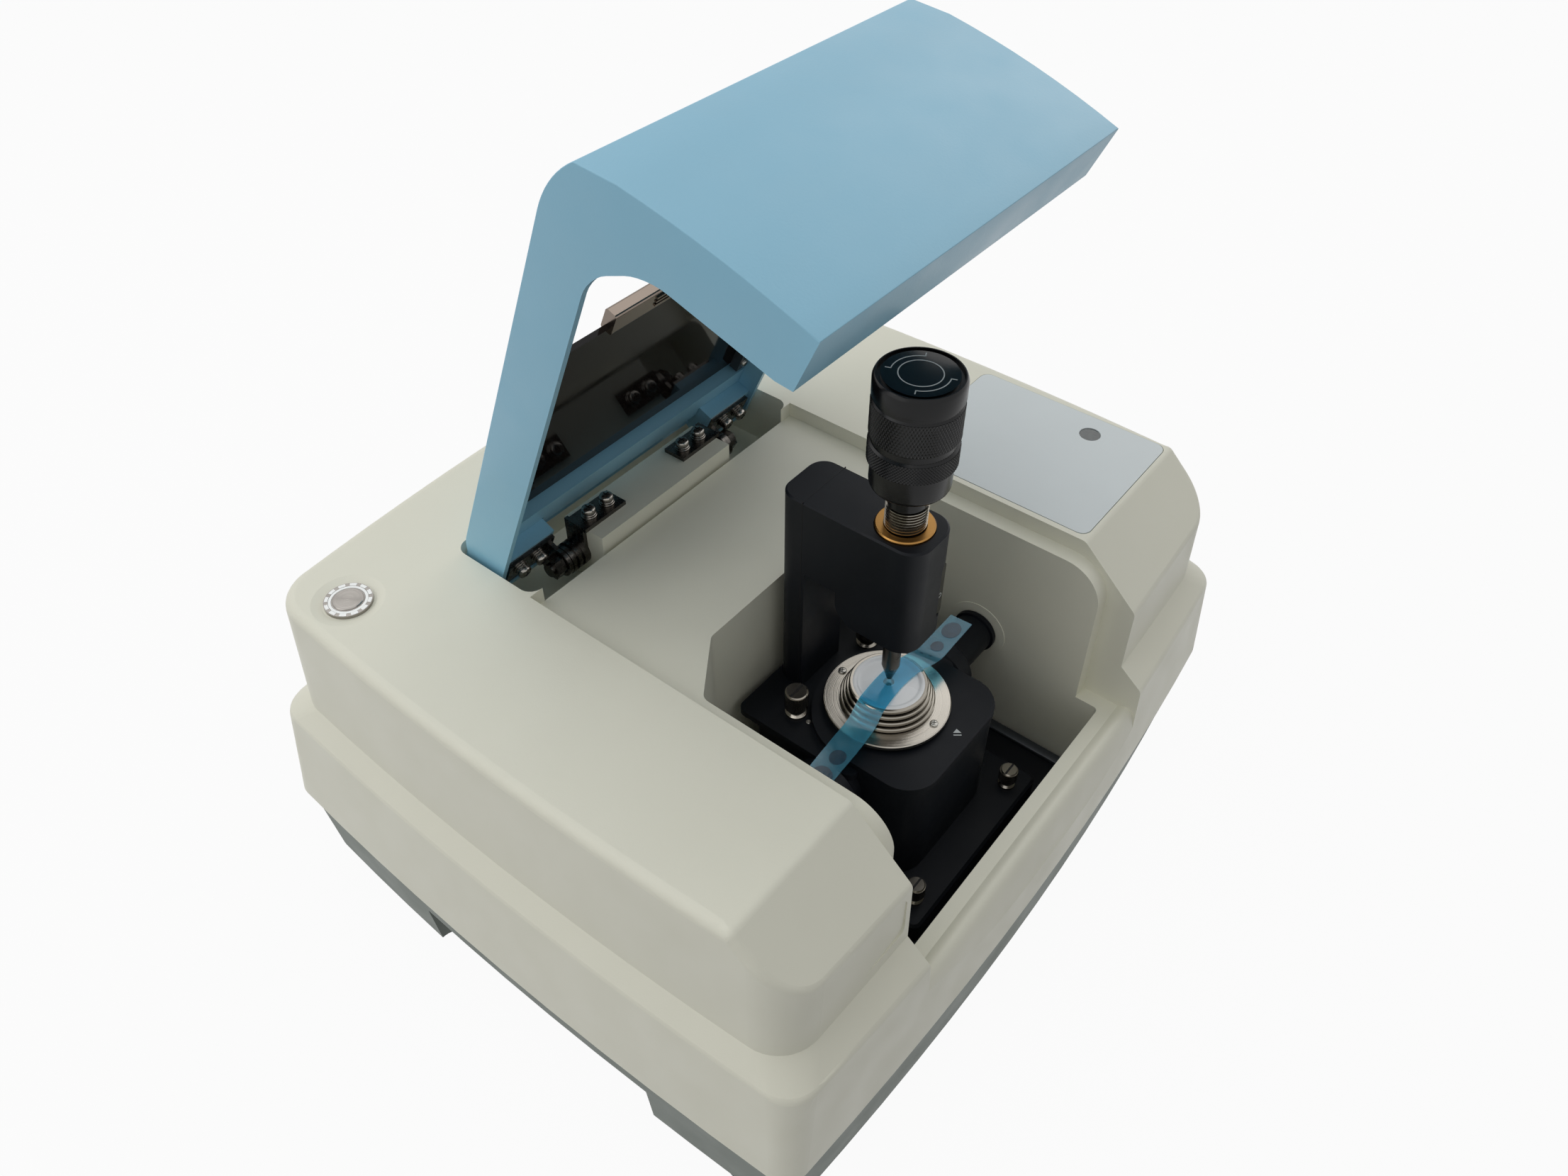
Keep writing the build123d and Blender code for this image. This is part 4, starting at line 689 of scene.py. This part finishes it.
@dataclass
class Knob:
    """Body, knurled bands, cap marks and thread of the press knob."""

    teeth: int = 84
    tooth_depth: float = 0.00035
    band_slices: int = 3
    band_twist_deg: float = 8.0
    neck_low: float = 0.3036
    neck_radius: float = 0.0099
    body_low: float = 0.3145
    body_radius: float = 0.0196
    body_round: float = 0.003
    round_steps: int = 6
    lower_band: Triple = (0.02105, 0.3298, 0.3394)
    upper_band: Triple = (0.02095, 0.3448, 0.3616)
    rim_radius: float = 0.0212
    rim_low: float = 0.3650
    rim_high: float = 0.3752
    seat_gap: float = 0.0002
    seat_depth: float = 0.0012
    cap_radius: float = 0.0193
    cap_top: float = 0.3749
    mark_ring: float = 0.0100
    mark_arc: float = 0.0134
    mark_width: float = 0.0005
    mark_height: float = 0.0001
    hook_length: float = 0.0026
    arc_starts: Pair = (25.0, 204.0)
    arc_span: float = 86.0
    thread_radius: float = 0.0104
    thread_low: float = 0.2897
    thread_high: float = 0.3037
    thread_pitch: float = 0.0017
    thread_steps: int = 32
    thread_crest: float = 0.0002
    thread_root: float = 0.0010
    flank_share: float = 0.30
    crest_share: float = 0.45
    core_inset: float = 0.0009
    core_below: float = 0.004

    def body(self) -> Piece:
        """Build the turned body: neck, smooth skirt, two band seats and the rim."""
        bm = bmesh.new()
        skirt, low = self.body_radius, self.body_low
        low_band, high_band = self.lower_band, self.upper_band
        outline = [(0.0, self.neck_low), (self.neck_radius, self.neck_low), (self.neck_radius, low)]
        bend = self.body_round
        outline += [(skirt - bend + bend * math.sin(angle), low + bend - bend * math.cos(angle))
                    for angle in (math.radians(90 * step / self.round_steps)
                                  for step in range(self.round_steps + 1))]
        outline += [(skirt, low_band[1] - 0.0012), (low_band[0], low_band[1] - 0.0002),
                    (low_band[0], low_band[2]), (skirt + 0.0004, low_band[2] + 0.0009),
                    (skirt + 0.0004, high_band[1] - 0.0012), (high_band[0], high_band[1] - 0.0002),
                    (high_band[0], high_band[2]), (skirt + 0.0006, high_band[2] + 0.0010),
                    (skirt + 0.0006, self.rim_low - 0.0008), (self.rim_radius, self.rim_low),
                    (self.rim_radius, self.rim_high - 0.0022),
                    (self.rim_radius - 0.0006, self.rim_high - 0.0006),
                    (self.rim_radius - 0.0011, self.rim_high),
                    (self.cap_radius + self.seat_gap, self.rim_high),
                    (self.cap_radius + self.seat_gap, self.cap_top - self.seat_depth),
                    (0.0, self.cap_top - self.seat_depth)]
        verts = turned_profile(bm, outline, steps=72)
        move(bm, verts, PRESS_AXIS)
        return finish_piece(bm, "knob_body", "knob", [KNOB],
                            replaced=("clamp_knob",))

    def knurl(self, bm: Mesh, band: Triple, twist_deg: float) -> None:
        """Add one set of slanted teeth round a band.

        Args:
            bm: Mesh to add to.
            band: Radius, low level and high level of the band.
            twist_deg: Turn of the teeth from one slice to the next.
        """
        radius, low, high = band
        rims: Verts = []
        loops: list[bmesh.types.BMEdge] = []
        for ring_radius, depth in ((radius + 0.0003, self.tooth_depth), (radius - 0.0008, 0.0)):
            ring = bmesh.ops.create_circle(bm, segments=self.teeth * 2, radius=ring_radius)["verts"]
            for vert in ring[::2]:
                vert.co *= 1.0 - depth / ring_radius
            rims += ring
            loops += list({edge for vert in ring for edge in vert.link_edges})
        faces = bmesh.ops.bridge_loops(bm, edges=loops)["faces"]
        made = list(rims)
        for _ in range(self.band_slices):
            lifted = bmesh.ops.extrude_face_region(bm, geom=faces)["geom"]
            tops = [item for item in lifted if isinstance(item, bmesh.types.BMVert)]
            if faces[0].is_valid and len(made) > len(rims):
                bmesh.ops.delete(bm, geom=faces, context="FACES_ONLY")
            faces = [item for item in lifted if isinstance(item, bmesh.types.BMFace)]
            move(bm, tops, (0, 0, (high - low) / self.band_slices))
            turn(bm, tops, math.radians(twist_deg))
            made += tops
        move(bm, made, (BAY_X, ATR_Y, low))

    def knurls(self) -> Piece:
        """Build crossed knurling round both bands."""
        bm = bmesh.new()
        for band in (self.lower_band, self.upper_band):
            for twist in (-self.band_twist_deg, self.band_twist_deg):
                self.knurl(bm, band, twist)
        return finish_piece(bm, "knob_knurling", "knob", [KNOB], smooth_deg=20)

    def cap_marks(self) -> Piece:
        """Build the ring and the two hooked turning arcs on the cap."""
        bm = bmesh.new()
        verts = arc_strip(bm, self.mark_ring, self.mark_width, self.mark_height, 0, 360)
        for start in self.arc_starts:
            verts += arc_strip(bm, self.mark_arc, self.mark_width, self.mark_height, start, self.arc_span)
            for end in (start, start + self.arc_span):
                hook = box(bm, (self.mark_arc - self.mark_width / 2, -self.mark_width / 2, 0.0),
                           (self.mark_arc + self.hook_length, self.mark_width / 2, self.mark_height))
                turn(bm, hook, math.radians(end))
                verts += hook
        move(bm, verts, (BAY_X, ATR_Y, self.cap_top))
        return finish_piece(bm, "knob_cap_marks", "knob", [MARK])

    def thread(self) -> Piece:
        """Build the screw thread that shows between the bush and the knob."""
        bm = bmesh.new()
        turns = (self.thread_high - self.thread_low) / self.thread_pitch
        half = self.thread_pitch * self.flank_share
        flat, root, crest = half * self.crest_share, -self.thread_root, self.thread_crest
        corners = [bm.verts.new((self.thread_radius + dx, 0.0, self.thread_low + dz)) for dx, dz in
                   ((root, -half), (crest, -flat), (crest, flat), (root, half))]
        section = bm.faces.new(corners)
        bmesh.ops.spin(bm, geom=[section] + list(section.edges) + corners, cent=(0, 0, 0), axis=(0, 0, 1),
                       dvec=(0, 0, self.thread_pitch / self.thread_steps), angle=turns * 2 * math.pi,
                       steps=int(self.thread_steps * turns), use_merge=False)
        # Dark core under the coil: painted shade in the thread roots.
        core, foot = self.thread_radius - self.core_inset, self.thread_low - self.core_below
        turned_profile(bm, [(0.0, foot), (core, foot), (core, self.thread_high), (0.0, self.thread_high)],
                       material=1)
        bmesh.ops.translate(bm, verts=bm.verts, vec=PRESS_AXIS)
        return finish_piece(bm, "spindle_thread", "knob", [STEEL, THREAD_ROOT_SHADE], smooth_deg=50,
                            replaced=("press_spindle",))


@dataclass
class Accessory:
    """Small parts of the sampling accessory."""

    ring_top: float = 0.1609
    ring_screw_radius: float = 0.0308
    ring_screw_turn: float = 0.5
    ring_screw: PanScrew = PanScrew(head_radius=0.0023, head_height=0.0011, washers=((0.0026, 0.0002),),
                                    cross=0.0014, slot_width=0.0004)
    collar_top: float = 0.1739
    collar_bore: float = 0.0206
    collar_foot: float = 0.0264
    ribs: int = 4
    rib_first: float = 0.0012
    rib_depth: float = 0.002
    rib_wall: float = 0.62
    rib_foot: float = 0.78
    core_bore: float = 0.006
    core_top: float = 0.6
    beam_height: float = 0.1345
    tube_root: float = 0.0521
    boss_end: float = 0.064
    rim_start: float = 0.0955
    tube_end: float = 0.0993
    wall_face: float = 0.1000
    window_radius: float = 0.0196
    wall_ring_depth: float = 0.0004
    wall_ring_lap: float = 0.0010
    tube_bore: float = 0.0105
    tube_radius: float = 0.0125
    rim_radius: float = 0.0140
    boss_radius: float = 0.0195
    disc_top: float = 0.1741
    disc_gap: float = 0.0003
    disc_thickness: float = 0.0015
    disc_outline: tuple[Pair, ...] = (
        (0.0, 0.0015), (0.0, 0.0007), (0.0006, 0.0001), (0.0012, 0.0), (0.0026, 0.0), (0.0032, 0.0007),
        (0.0042, 0.0009), (0.0060, 0.0005))
    disc_lip: float = 0.0002
    crystal_bore: float = 0.0031
    plate_top: float = 0.156
    shelf_top: float = 0.152
    set_screw_x: float = 0.0355
    set_screw_y: float = -0.0628
    set_screw_outline: tuple[Pair, ...] = (
        (0.0, 0.0), (0.0015, 0.0), (0.0015, 0.0003), (0.0012, 0.0006), (0.0008, 0.0006),
        (0.0008, 0.0001), (0.0, 0.0001))
    floor_top: float = 0.0630
    strip_x: float = 0.0985
    strip_width: float = 0.007
    strip_height: float = 0.003
    strip_round: float = 0.0014
    strip_front_y: float = -0.172
    strip_rear_y: float = -0.060
    arm_half: float = 0.018
    seam_y: float = -0.042
    seam_low: float = 0.1525
    seam_high: float = 0.2881
    seam_width: float = 0.0003
    seam_proud: float = 0.0001
    mark_place: Pair = (-0.0055, -0.1322)
    mark_turn_deg: float = -51.4
    mark_size: float = 0.0026
    mark_flattened: float = 0.7
    mark_bar: Triple = (0.0022, -0.0028, -0.0021)
    mark_thickness: float = 0.00008
    indicator_ring: Triple = (0.0013, 0.0004, 0.0001)
    indicator_place: Triple = (BAY_X + 0.010, -0.1087, 0.244)
    thumb_foot: tuple[Pair, ...] = ((0.95, 0.0), (0.95, 0.0016), (0.72, 0.0026), (0.72, 0.0046))
    thumb_teeth: int = 56
    knurl_low: float = 0.0056
    knurl_below_top: float = 0.0010
    slot_half: float = 0.0006
    slot_inset: float = 0.0009
    screws: tuple[tuple[str, float, float, float, float, float], ...] = (
        ("base_screw_left", -0.050, -0.150, 0.078, 0.0054, 0.0145),
        ("base_screw_right", 0.050, -0.150, 0.078, 0.0054, 0.0145),
        ("shelf_screw_left", -0.034, -0.053, 0.152, 0.0066, 0.0180),
        ("shelf_screw_right", 0.034, -0.053, 0.152, 0.0066, 0.0180))

    def ring_screws(self) -> Piece:
        """Build the two cross-head screws of the steel ring."""
        bm = bmesh.new()
        for side in (-1, 1):
            verts = self.ring_screw.build(bm)
            turn(bm, verts, self.ring_screw_turn)
            move(bm, verts, (BAY_X, ATR_Y + side * self.ring_screw_radius, self.ring_top))
        return finish_piece(bm, "ring_screw_heads", "housing", [SCREW, RECESS])

    def set_screws(self) -> Piece:
        """Build the small socket screws at the sides of the shelf."""
        bm = bmesh.new()
        for side in (-1, 1):
            verts = turned_profile(bm, list(self.set_screw_outline), steps=20)
            move(bm, verts, (BAY_X + side * self.set_screw_x, self.set_screw_y, self.shelf_top))
        return finish_piece(bm, "shelf_set_screws", "housing", [SCREW])

    def floor_strip(self) -> Piece:
        """Build the dark round strip that edges the compartment floor on the right."""
        bm = bmesh.new()
        low = (BAY_X + self.strip_x - self.strip_width, self.strip_front_y, self.floor_top)
        high = (BAY_X + self.strip_x, self.strip_rear_y, self.floor_top + self.strip_height)
        box(bm, low, high, round_by=self.strip_round)
        return finish_piece(bm, "floor_strip", "housing", [RAIL])

    def arm_seam(self) -> Piece:
        """Build the fine joint line between the press arm and its column."""
        bm = bmesh.new()
        box(bm, (BAY_X - self.arm_half - self.seam_proud, self.seam_y, self.seam_low),
            (BAY_X + self.arm_half + self.seam_proud, self.seam_y + self.seam_width, self.seam_high))
        return finish_piece(bm, "arm_seam", "housing", [RECESS])

    def plate_mark(self) -> Piece:
        """Build the plain triangle mark on the crystal plate."""
        bm = bmesh.new()
        head = bmesh.ops.create_cone(bm, segments=3, radius1=self.mark_size, radius2=self.mark_size,
                                     depth=self.mark_thickness, cap_ends=True)["verts"]
        bmesh.ops.scale(bm, verts=head, vec=(1.0, self.mark_flattened, 1.0))
        reach, bar_front, bar_rear = self.mark_bar
        half = self.mark_thickness / 2
        bar = box(bm, (-reach, bar_front, -half), (reach, bar_rear, half))
        turn(bm, head + bar, math.radians(self.mark_turn_deg))
        move(bm, head + bar, (*self.mark_place, self.plate_top + half))
        return finish_piece(bm, "plate_mark", "housing", [MARK])

    def collar(self) -> Piece:
        """Build the ribbed steel collar that widens down to the ring plate."""
        bm = bmesh.new()
        low, high, bore, foot = self.ring_top, self.collar_top, self.collar_bore, self.collar_foot
        drop = (high - low) / self.ribs
        for rib in range(self.ribs):
            radius = bore + self.rib_first + rib * (foot - bore - self.rib_first) / (self.ribs - 1)
            top = high - rib * drop
            inner, under = bore - self.rib_depth, top - self.rib_foot * drop
            turned_profile(bm, [
                (inner, under), (inner, top - 0.0004), (bore - 0.0004, top), (radius - 0.0006, top),
                (radius, top - 0.0005), (radius, top - self.rib_wall * drop), (radius - 0.0005, under),
                (inner, under)], steps=72)
        # Dark core under the ribs: painted shade between the ribs.
        core, shoulder = self.core_bore, high - self.core_top * drop
        turned_profile(bm, [
            (core, low), (foot - 0.0014, low), (foot - 0.0020, low + 0.2 * drop),
            (bore - 0.0004, shoulder), (core, shoulder), (core, low)], steps=72, material=1)
        bmesh.ops.translate(bm, verts=bm.verts, vec=PRESS_AXIS)
        return finish_piece(bm, "ribbed_collar", "housing", [STEEL, THREAD_ROOT_SHADE],
                            smooth_deg=25, replaced=("threaded_collar",))

    def disc(self) -> Piece:
        """Build the white disc with its raised rim and shallow dish."""
        bm = bmesh.new()
        top, rim, bore = self.disc_top, self.collar_bore - self.disc_gap, self.crystal_bore
        face = [(rim - inward, top - down) for inward, down in self.disc_outline]
        under = (bore, top - self.disc_thickness)
        verts = turned_profile(bm, [under, *face, (bore, top - self.disc_lip), under], steps=72)
        move(bm, verts, PRESS_AXIS)
        return finish_piece(bm, "white_disc", "housing", [PTFE], smooth_deg=50,
                            replaced=("sealing_disc",))

    def ports(self) -> Piece:
        """Build the beam tubes with their bosses and end rims, and the flat rings in the walls."""
        bm = bmesh.new()
        bore, boss, tube, rim = self.tube_bore, self.boss_radius, self.tube_radius, self.rim_radius
        root, boss_end, rim_start, end = self.tube_root, self.boss_end, self.rim_start, self.tube_end
        tube_outline = [
            (bore, root), (boss - 0.0012, root), (boss, root + 0.0012), (boss, boss_end - 0.0015),
            (boss - 0.0015, boss_end), (tube, boss_end + 0.0006), (tube, rim_start),
            (rim, rim_start + 0.0004), (rim, end - 0.0005), (rim - 0.0005, end), (bore, end), (bore, root)]
        inner, outer = rim - self.wall_ring_lap, self.window_radius
        back, face = self.wall_face - self.wall_ring_depth, self.wall_face
        ring_outline = [(inner, back), (outer, back), (outer, face), (inner, face), (inner, back)]
        for side in (-1, 1):
            for material, outline in enumerate((tube_outline, ring_outline)):
                verts = turned_profile(bm, outline, steps=64, material=material)
                turn(bm, verts, side * math.pi / 2, "Y")
                move(bm, verts, (BAY_X, ATR_Y, self.beam_height))
        return finish_piece(bm, "beam_tubes", "housing", [ANODISED, COVER], smooth_deg=40,
                            replaced=("port_tubes",))

    def indicator_mark(self) -> Piece:
        """Build the small ring on the force indicator."""
        bm = bmesh.new()
        verts = arc_strip(bm, *self.indicator_ring, 0, 360)
        turn(bm, verts, math.pi / 2, "X")
        move(bm, verts, self.indicator_place)
        return finish_piece(bm, "indicator_mark", "housing", [MARK])

    def thumb_screws(self) -> None:
        """Build the four captive thumb screws: foot collar, neck, knurled head and slot."""
        for name, x, y, low, radius, height in self.screws:
            bm = bmesh.new()
            foot = [(radius * share, level) for share, level in self.thumb_foot]
            verts = turned_profile(bm, [
                (0.0, 0.0), *foot, (radius - 0.0003, 0.0052), (radius - 0.0003, height - 0.0006),
                (radius - 0.0009, height), (0.0, height)])
            around = 2 * self.thumb_teeth
            outer = bmesh.ops.create_circle(bm, segments=around, radius=radius + 0.0001)["verts"]
            for vert in outer[::2]:
                vert.co *= (radius - 0.0002) / (radius + 0.0001)
            inner = bmesh.ops.create_circle(bm, segments=around, radius=radius - 0.0006)["verts"]
            rims = list({edge for vert in outer + inner for edge in vert.link_edges})
            ring = bmesh.ops.bridge_loops(bm, edges=rims)["faces"]
            lifted = bmesh.ops.extrude_face_region(bm, geom=ring)["geom"]
            tops = [item for item in lifted if isinstance(item, bmesh.types.BMVert)]
            move(bm, tops, (0, 0, height - self.knurl_low - self.knurl_below_top))
            move(bm, outer + inner + tops, (0, 0, self.knurl_low))
            reach, half = radius - self.slot_inset, self.slot_half
            slot = box(bm, (-reach, -half, height - half), (reach, half, height + 0.00004), material=1)
            move(bm, verts + outer + inner + tops + slot, (BAY_X + x, y, low))
            finish_piece(bm, f"{name}_head", name, [STEEL, RECESS], smooth_deg=20,
                         replaced=(name.replace("screw", "thumbscrew"),))


@dataclass
class Film:
    """Blue protective film that lies over the disc and droops at its left end."""

    thickness: float = 0.00015
    steps: int = 8
    rows: int = 4
    patch_thickness: float = 0.00006
    patch_lift: float = 1.4
    edges: tuple[tuple[Triple, Triple], ...] = (
        ((-0.0940, -0.0835, 0.1535), (-0.0940, -0.0995, 0.1535)),
        ((-0.0743, -0.0839, 0.1577), (-0.0745, -0.0997, 0.1577)),
        ((-0.0560, -0.0846, 0.1628), (-0.0540, -0.1006, 0.1628)),
        ((-0.0440, -0.0856, 0.1676), (-0.0405, -0.1008, 0.1676)),
        ((-0.0345, -0.0850, 0.1738), (-0.0325, -0.1004, 0.1738)),
        ((-0.0270, -0.0844, 0.1747), (-0.0250, -0.0996, 0.1747)),
        ((-0.0125, -0.0838, 0.1746), (-0.0105, -0.0986, 0.1746)),
        ((0.0010, -0.0848, 0.1747), (0.0035, -0.1000, 0.1747)),
        ((0.0110, -0.0873, 0.1744), (0.0140, -0.1030, 0.1744)),
        ((0.0205, -0.0885, 0.1732), (0.0220, -0.1036, 0.1732)),
        ((0.0340, -0.0894, 0.1740), (0.0350, -0.1036, 0.1740)),
        ((0.0510, -0.0900, 0.1752), (0.0518, -0.1037, 0.1752)))
    blisters: tuple[tuple[float, float, float, float], ...] = (
        (10.36, 0.50, 0.34, 0.36), (9.42, 0.52, 0.30, 0.24), (8.55, 0.30, 0.05, 0.06),
        (8.62, 0.62, 0.05, 0.05), (1.55, 0.58, 0.22, 0.28), (0.93, 0.55, 0.26, 0.38))

    def spot(self, along: float, across: float) -> Vector:
        """Return a point of the film.

        Args:
            along: Place along the film, counted in edge pairs from its left end.
            across: Place across it, 0 at the rear edge and 1 at the front edge.

        Returns:
            The point, on a smooth curve through the edge pairs.
        """
        last = len(self.edges) - 1
        at = min(max(int(along), 0), last - 1)
        share = along - at
        pairs = [self.edges[min(max(place, 0), last)] for place in range(at - 1, at + 3)]
        before, low, high, after = [Vector(rear).lerp(Vector(front), across) for rear, front in pairs]
        return 0.5 * (2 * low + (high - before) * share
                      + (2 * before - 5 * low + 4 * high - after) * share ** 2
                      + (3 * low - before - 3 * high + after) * share ** 3)

    def strip(self) -> Piece:
        """Build the film."""
        bm = bmesh.new()
        spans = (len(self.edges) - 1) * self.steps
        bmesh.ops.create_grid(bm, x_segments=spans, y_segments=self.rows, size=0.5)
        for vert in bm.verts:
            vert.co = self.spot((vert.co.x + 0.5) * (len(self.edges) - 1), 0.5 - vert.co.y)
        bmesh.ops.solidify(bm, geom=list(bm.faces), thickness=self.thickness)
        return finish_piece(bm, "film_strip", "housing", [FILM], smooth_deg=60,
                            replaced=("protective_film",))

    def patches(self) -> Piece:
        """Build the round wet patches on the film."""
        bm = bmesh.new()
        for along, across, long, wide in self.blisters:
            disc = bmesh.ops.create_circle(bm, segments=32, radius=1.0, cap_ends=True)["verts"]
            bmesh.ops.scale(bm, verts=disc, vec=(long, wide, 1.0))
            move(bm, disc, (along, across, 0.0))
        for vert in bm.verts:
            vert.co = self.spot(vert.co.x, vert.co.y) + Vector((0, 0, self.thickness * self.patch_lift))
        bmesh.ops.solidify(bm, geom=list(bm.faces), thickness=self.patch_thickness)
        return finish_piece(bm, "film_patches", "housing", [BLISTER], smooth_deg=60)


@dataclass
class PowerButton:
    """Bright segments round the power button."""

    top: float = 0.2282
    segment_radius: float = 0.0113
    segment_width: float = 0.0018
    segment_height: float = 0.00012
    segment_share: float = 0.6
    segments_round: int = 12

    def segments(self) -> Piece:
        """Build the bright segments round the flange."""
        bm = bmesh.new()
        verts: Verts = []
        pitch = 360.0 / self.segments_round
        for number in range(self.segments_round):
            verts += arc_strip(bm, self.segment_radius, self.segment_width, self.segment_height,
                               number * pitch, pitch * self.segment_share)
        move(bm, verts, (BUTTON_X, BUTTON_Y, self.top))
        return finish_piece(bm, "button_light_segments", "housing", [RING])


@dataclass(frozen=True)
class Lamp:
    """Soft square light that faces a point, with its size in metres and its power in watts."""

    name: str
    place: Triple
    target: Triple
    size: float
    power: float

    def build(self) -> None:
        """Hang the lamp in the scene."""
        data = bpy.data.lights.new(self.name, "AREA")
        data.size = self.size
        data.energy = self.power
        lamp = bpy.data.objects.new(self.name, data)
        direction = Vector(self.target) - Vector(self.place)
        aim = direction.to_track_quat("-Z", "Y").to_matrix().to_4x4()
        lamp.matrix_world = Matrix.Translation(self.place) @ aim
        bpy.context.scene.collection.objects.link(lamp)


@dataclass
class Studio:
    """Camera, lamps, floor and background."""

    position: Triple = (-0.39037, -0.30966, 0.66909)
    right: Triple = (0.618047, -0.786104, 0.007639)
    down: Triple = (-0.546912, -0.436930, -0.714128)
    ahead: Triple = (0.564717, 0.437187, -0.699973)
    lens: float = 27.509
    sensor: float = 36.0
    fill: float = 0.36
    floor_size: float = 6.0
    floor_grey: float = 0.42
    floor_white: float = 0.95
    floor_rough: float = 0.9
    lamps: tuple[Lamp, ...] = (
        Lamp("top_light", (-0.5, 0.8, 2.0), (0.0, 0.0, 0.2), 2.6, 20.0),
        Lamp("left_light", (-1.9, 0.6, 1.0), (0.0, 0.0, 0.15), 1.8, 6.0),
        Lamp("right_light", (1.5, -0.2, 1.5), (0.0, 0.0, 0.15), 1.6, 6.0))

    def camera(self) -> None:
        """Place the camera where the photograph was taken from."""
        data = bpy.data.cameras.new("camera")
        data.sensor_fit = "HORIZONTAL"
        data.sensor_width = self.sensor
        data.lens = self.lens
        data.clip_start = 0.01
        camera = bpy.data.objects.new("camera", data)
        facing = Matrix((self.right, [-v for v in self.down], [-v for v in self.ahead])).transposed()
        camera.matrix_world = Matrix.Translation(self.position) @ facing.to_4x4()
        bpy.context.scene.collection.objects.link(camera)
        bpy.context.scene.camera = camera

    def background_share(self, tree: Tree) -> Socket:
        """Tell the rays that see the background directly, in a reflection or through glass.

        Args:
            tree: Node tree to add the test to.

        Returns:
            One for such a ray and zero for any other.
        """
        path = tree.nodes.new("ShaderNodeLightPath")
        first = tree.nodes.new("ShaderNodeMath")
        first.operation = "MAXIMUM"
        second = tree.nodes.new("ShaderNodeMath")
        second.operation = "MAXIMUM"
        tree.links.new(path.outputs["Is Camera Ray"], first.inputs[0])
        tree.links.new(path.outputs["Is Transmission Ray"], first.inputs[1])
        tree.links.new(first.outputs[0], second.inputs[0])
        tree.links.new(path.outputs["Is Glossy Ray"], second.inputs[1])
        return second.outputs[0]

    def world(self) -> None:
        """Set a white background and an even fill light."""
        world = bpy.data.worlds.new("studio")
        bpy.context.scene.world = world
        world.use_nodes = True
        tree = world.node_tree
        shade = tree.nodes["Background"]
        shade.inputs["Color"].default_value = (1.0, 1.0, 1.0, 1.0)
        strength = tree.nodes.new("ShaderNodeMapRange")
        strength.inputs["To Min"].default_value = self.fill
        strength.inputs["To Max"].default_value = 1.0
        tree.links.new(self.background_share(tree), strength.inputs["Value"])
        tree.links.new(strength.outputs["Result"], shade.inputs["Strength"])

    def floor(self) -> None:
        """Lay a pale floor that keeps the object's shadow."""
        bm = bmesh.new()
        bmesh.ops.create_grid(bm, x_segments=1, y_segments=1, size=self.floor_size)
        mesh = bpy.data.meshes.new("floor")
        bm.to_mesh(mesh)
        bm.free()
        floor = bpy.data.objects.new("floor", mesh)
        bpy.context.scene.collection.objects.link(floor)
        made = bpy.data.materials.new("floor_white")
        made.use_nodes = True
        tree = made.node_tree
        shader = tree.nodes["Principled BSDF"]
        shader.inputs["Base Color"].default_value = (self.floor_grey, self.floor_grey, self.floor_grey, 1.0)
        shader.inputs["Roughness"].default_value = self.floor_rough
        glow = tree.nodes.new("ShaderNodeEmission")
        mix = tree.nodes.new("ShaderNodeMixShader")
        share = tree.nodes.new("ShaderNodeMath")
        share.operation = "MULTIPLY"
        share.inputs[1].default_value = self.floor_white
        tree.links.new(self.background_share(tree), share.inputs[0])
        tree.links.new(share.outputs[0], mix.inputs["Fac"])
        tree.links.new(shader.outputs[0], mix.inputs[1])
        tree.links.new(glow.outputs[0], mix.inputs[2])
        tree.links.new(mix.outputs[0], tree.nodes["Material Output"].inputs["Surface"])
        mesh.materials.append(made)

    def build(self) -> None:
        """Set up the whole studio."""
        self.camera()
        self.world()
        self.floor()
        for lamp in self.lamps:
            lamp.build()
        bpy.context.scene.view_settings.view_transform = "Standard"


def main() -> None:
    """Build the studio, dress the solids and add the scene's own pieces."""
    logging.basicConfig(level=logging.INFO)
    Studio().build()
    dress_nodes()
    hardware = HingeHardware()
    hardware.bracket_screws()
    hardware.leaf_screws()
    hardware.rail_screws()
    LidSkin().build()
    knob = Knob()
    knob.body()
    knob.knurls()
    knob.cap_marks()
    knob.thread()
    accessory = Accessory()
    accessory.ring_screws()
    accessory.set_screws()
    accessory.floor_strip()
    accessory.arm_seam()
    accessory.collar()
    accessory.disc()
    accessory.indicator_mark()
    film = Film()
    film.strip()
    film.patches()
    accessory.plate_mark()
    accessory.thumb_screws()
    accessory.ports()
    PowerButton().segments()


if __name__ == "__main__":
    main()
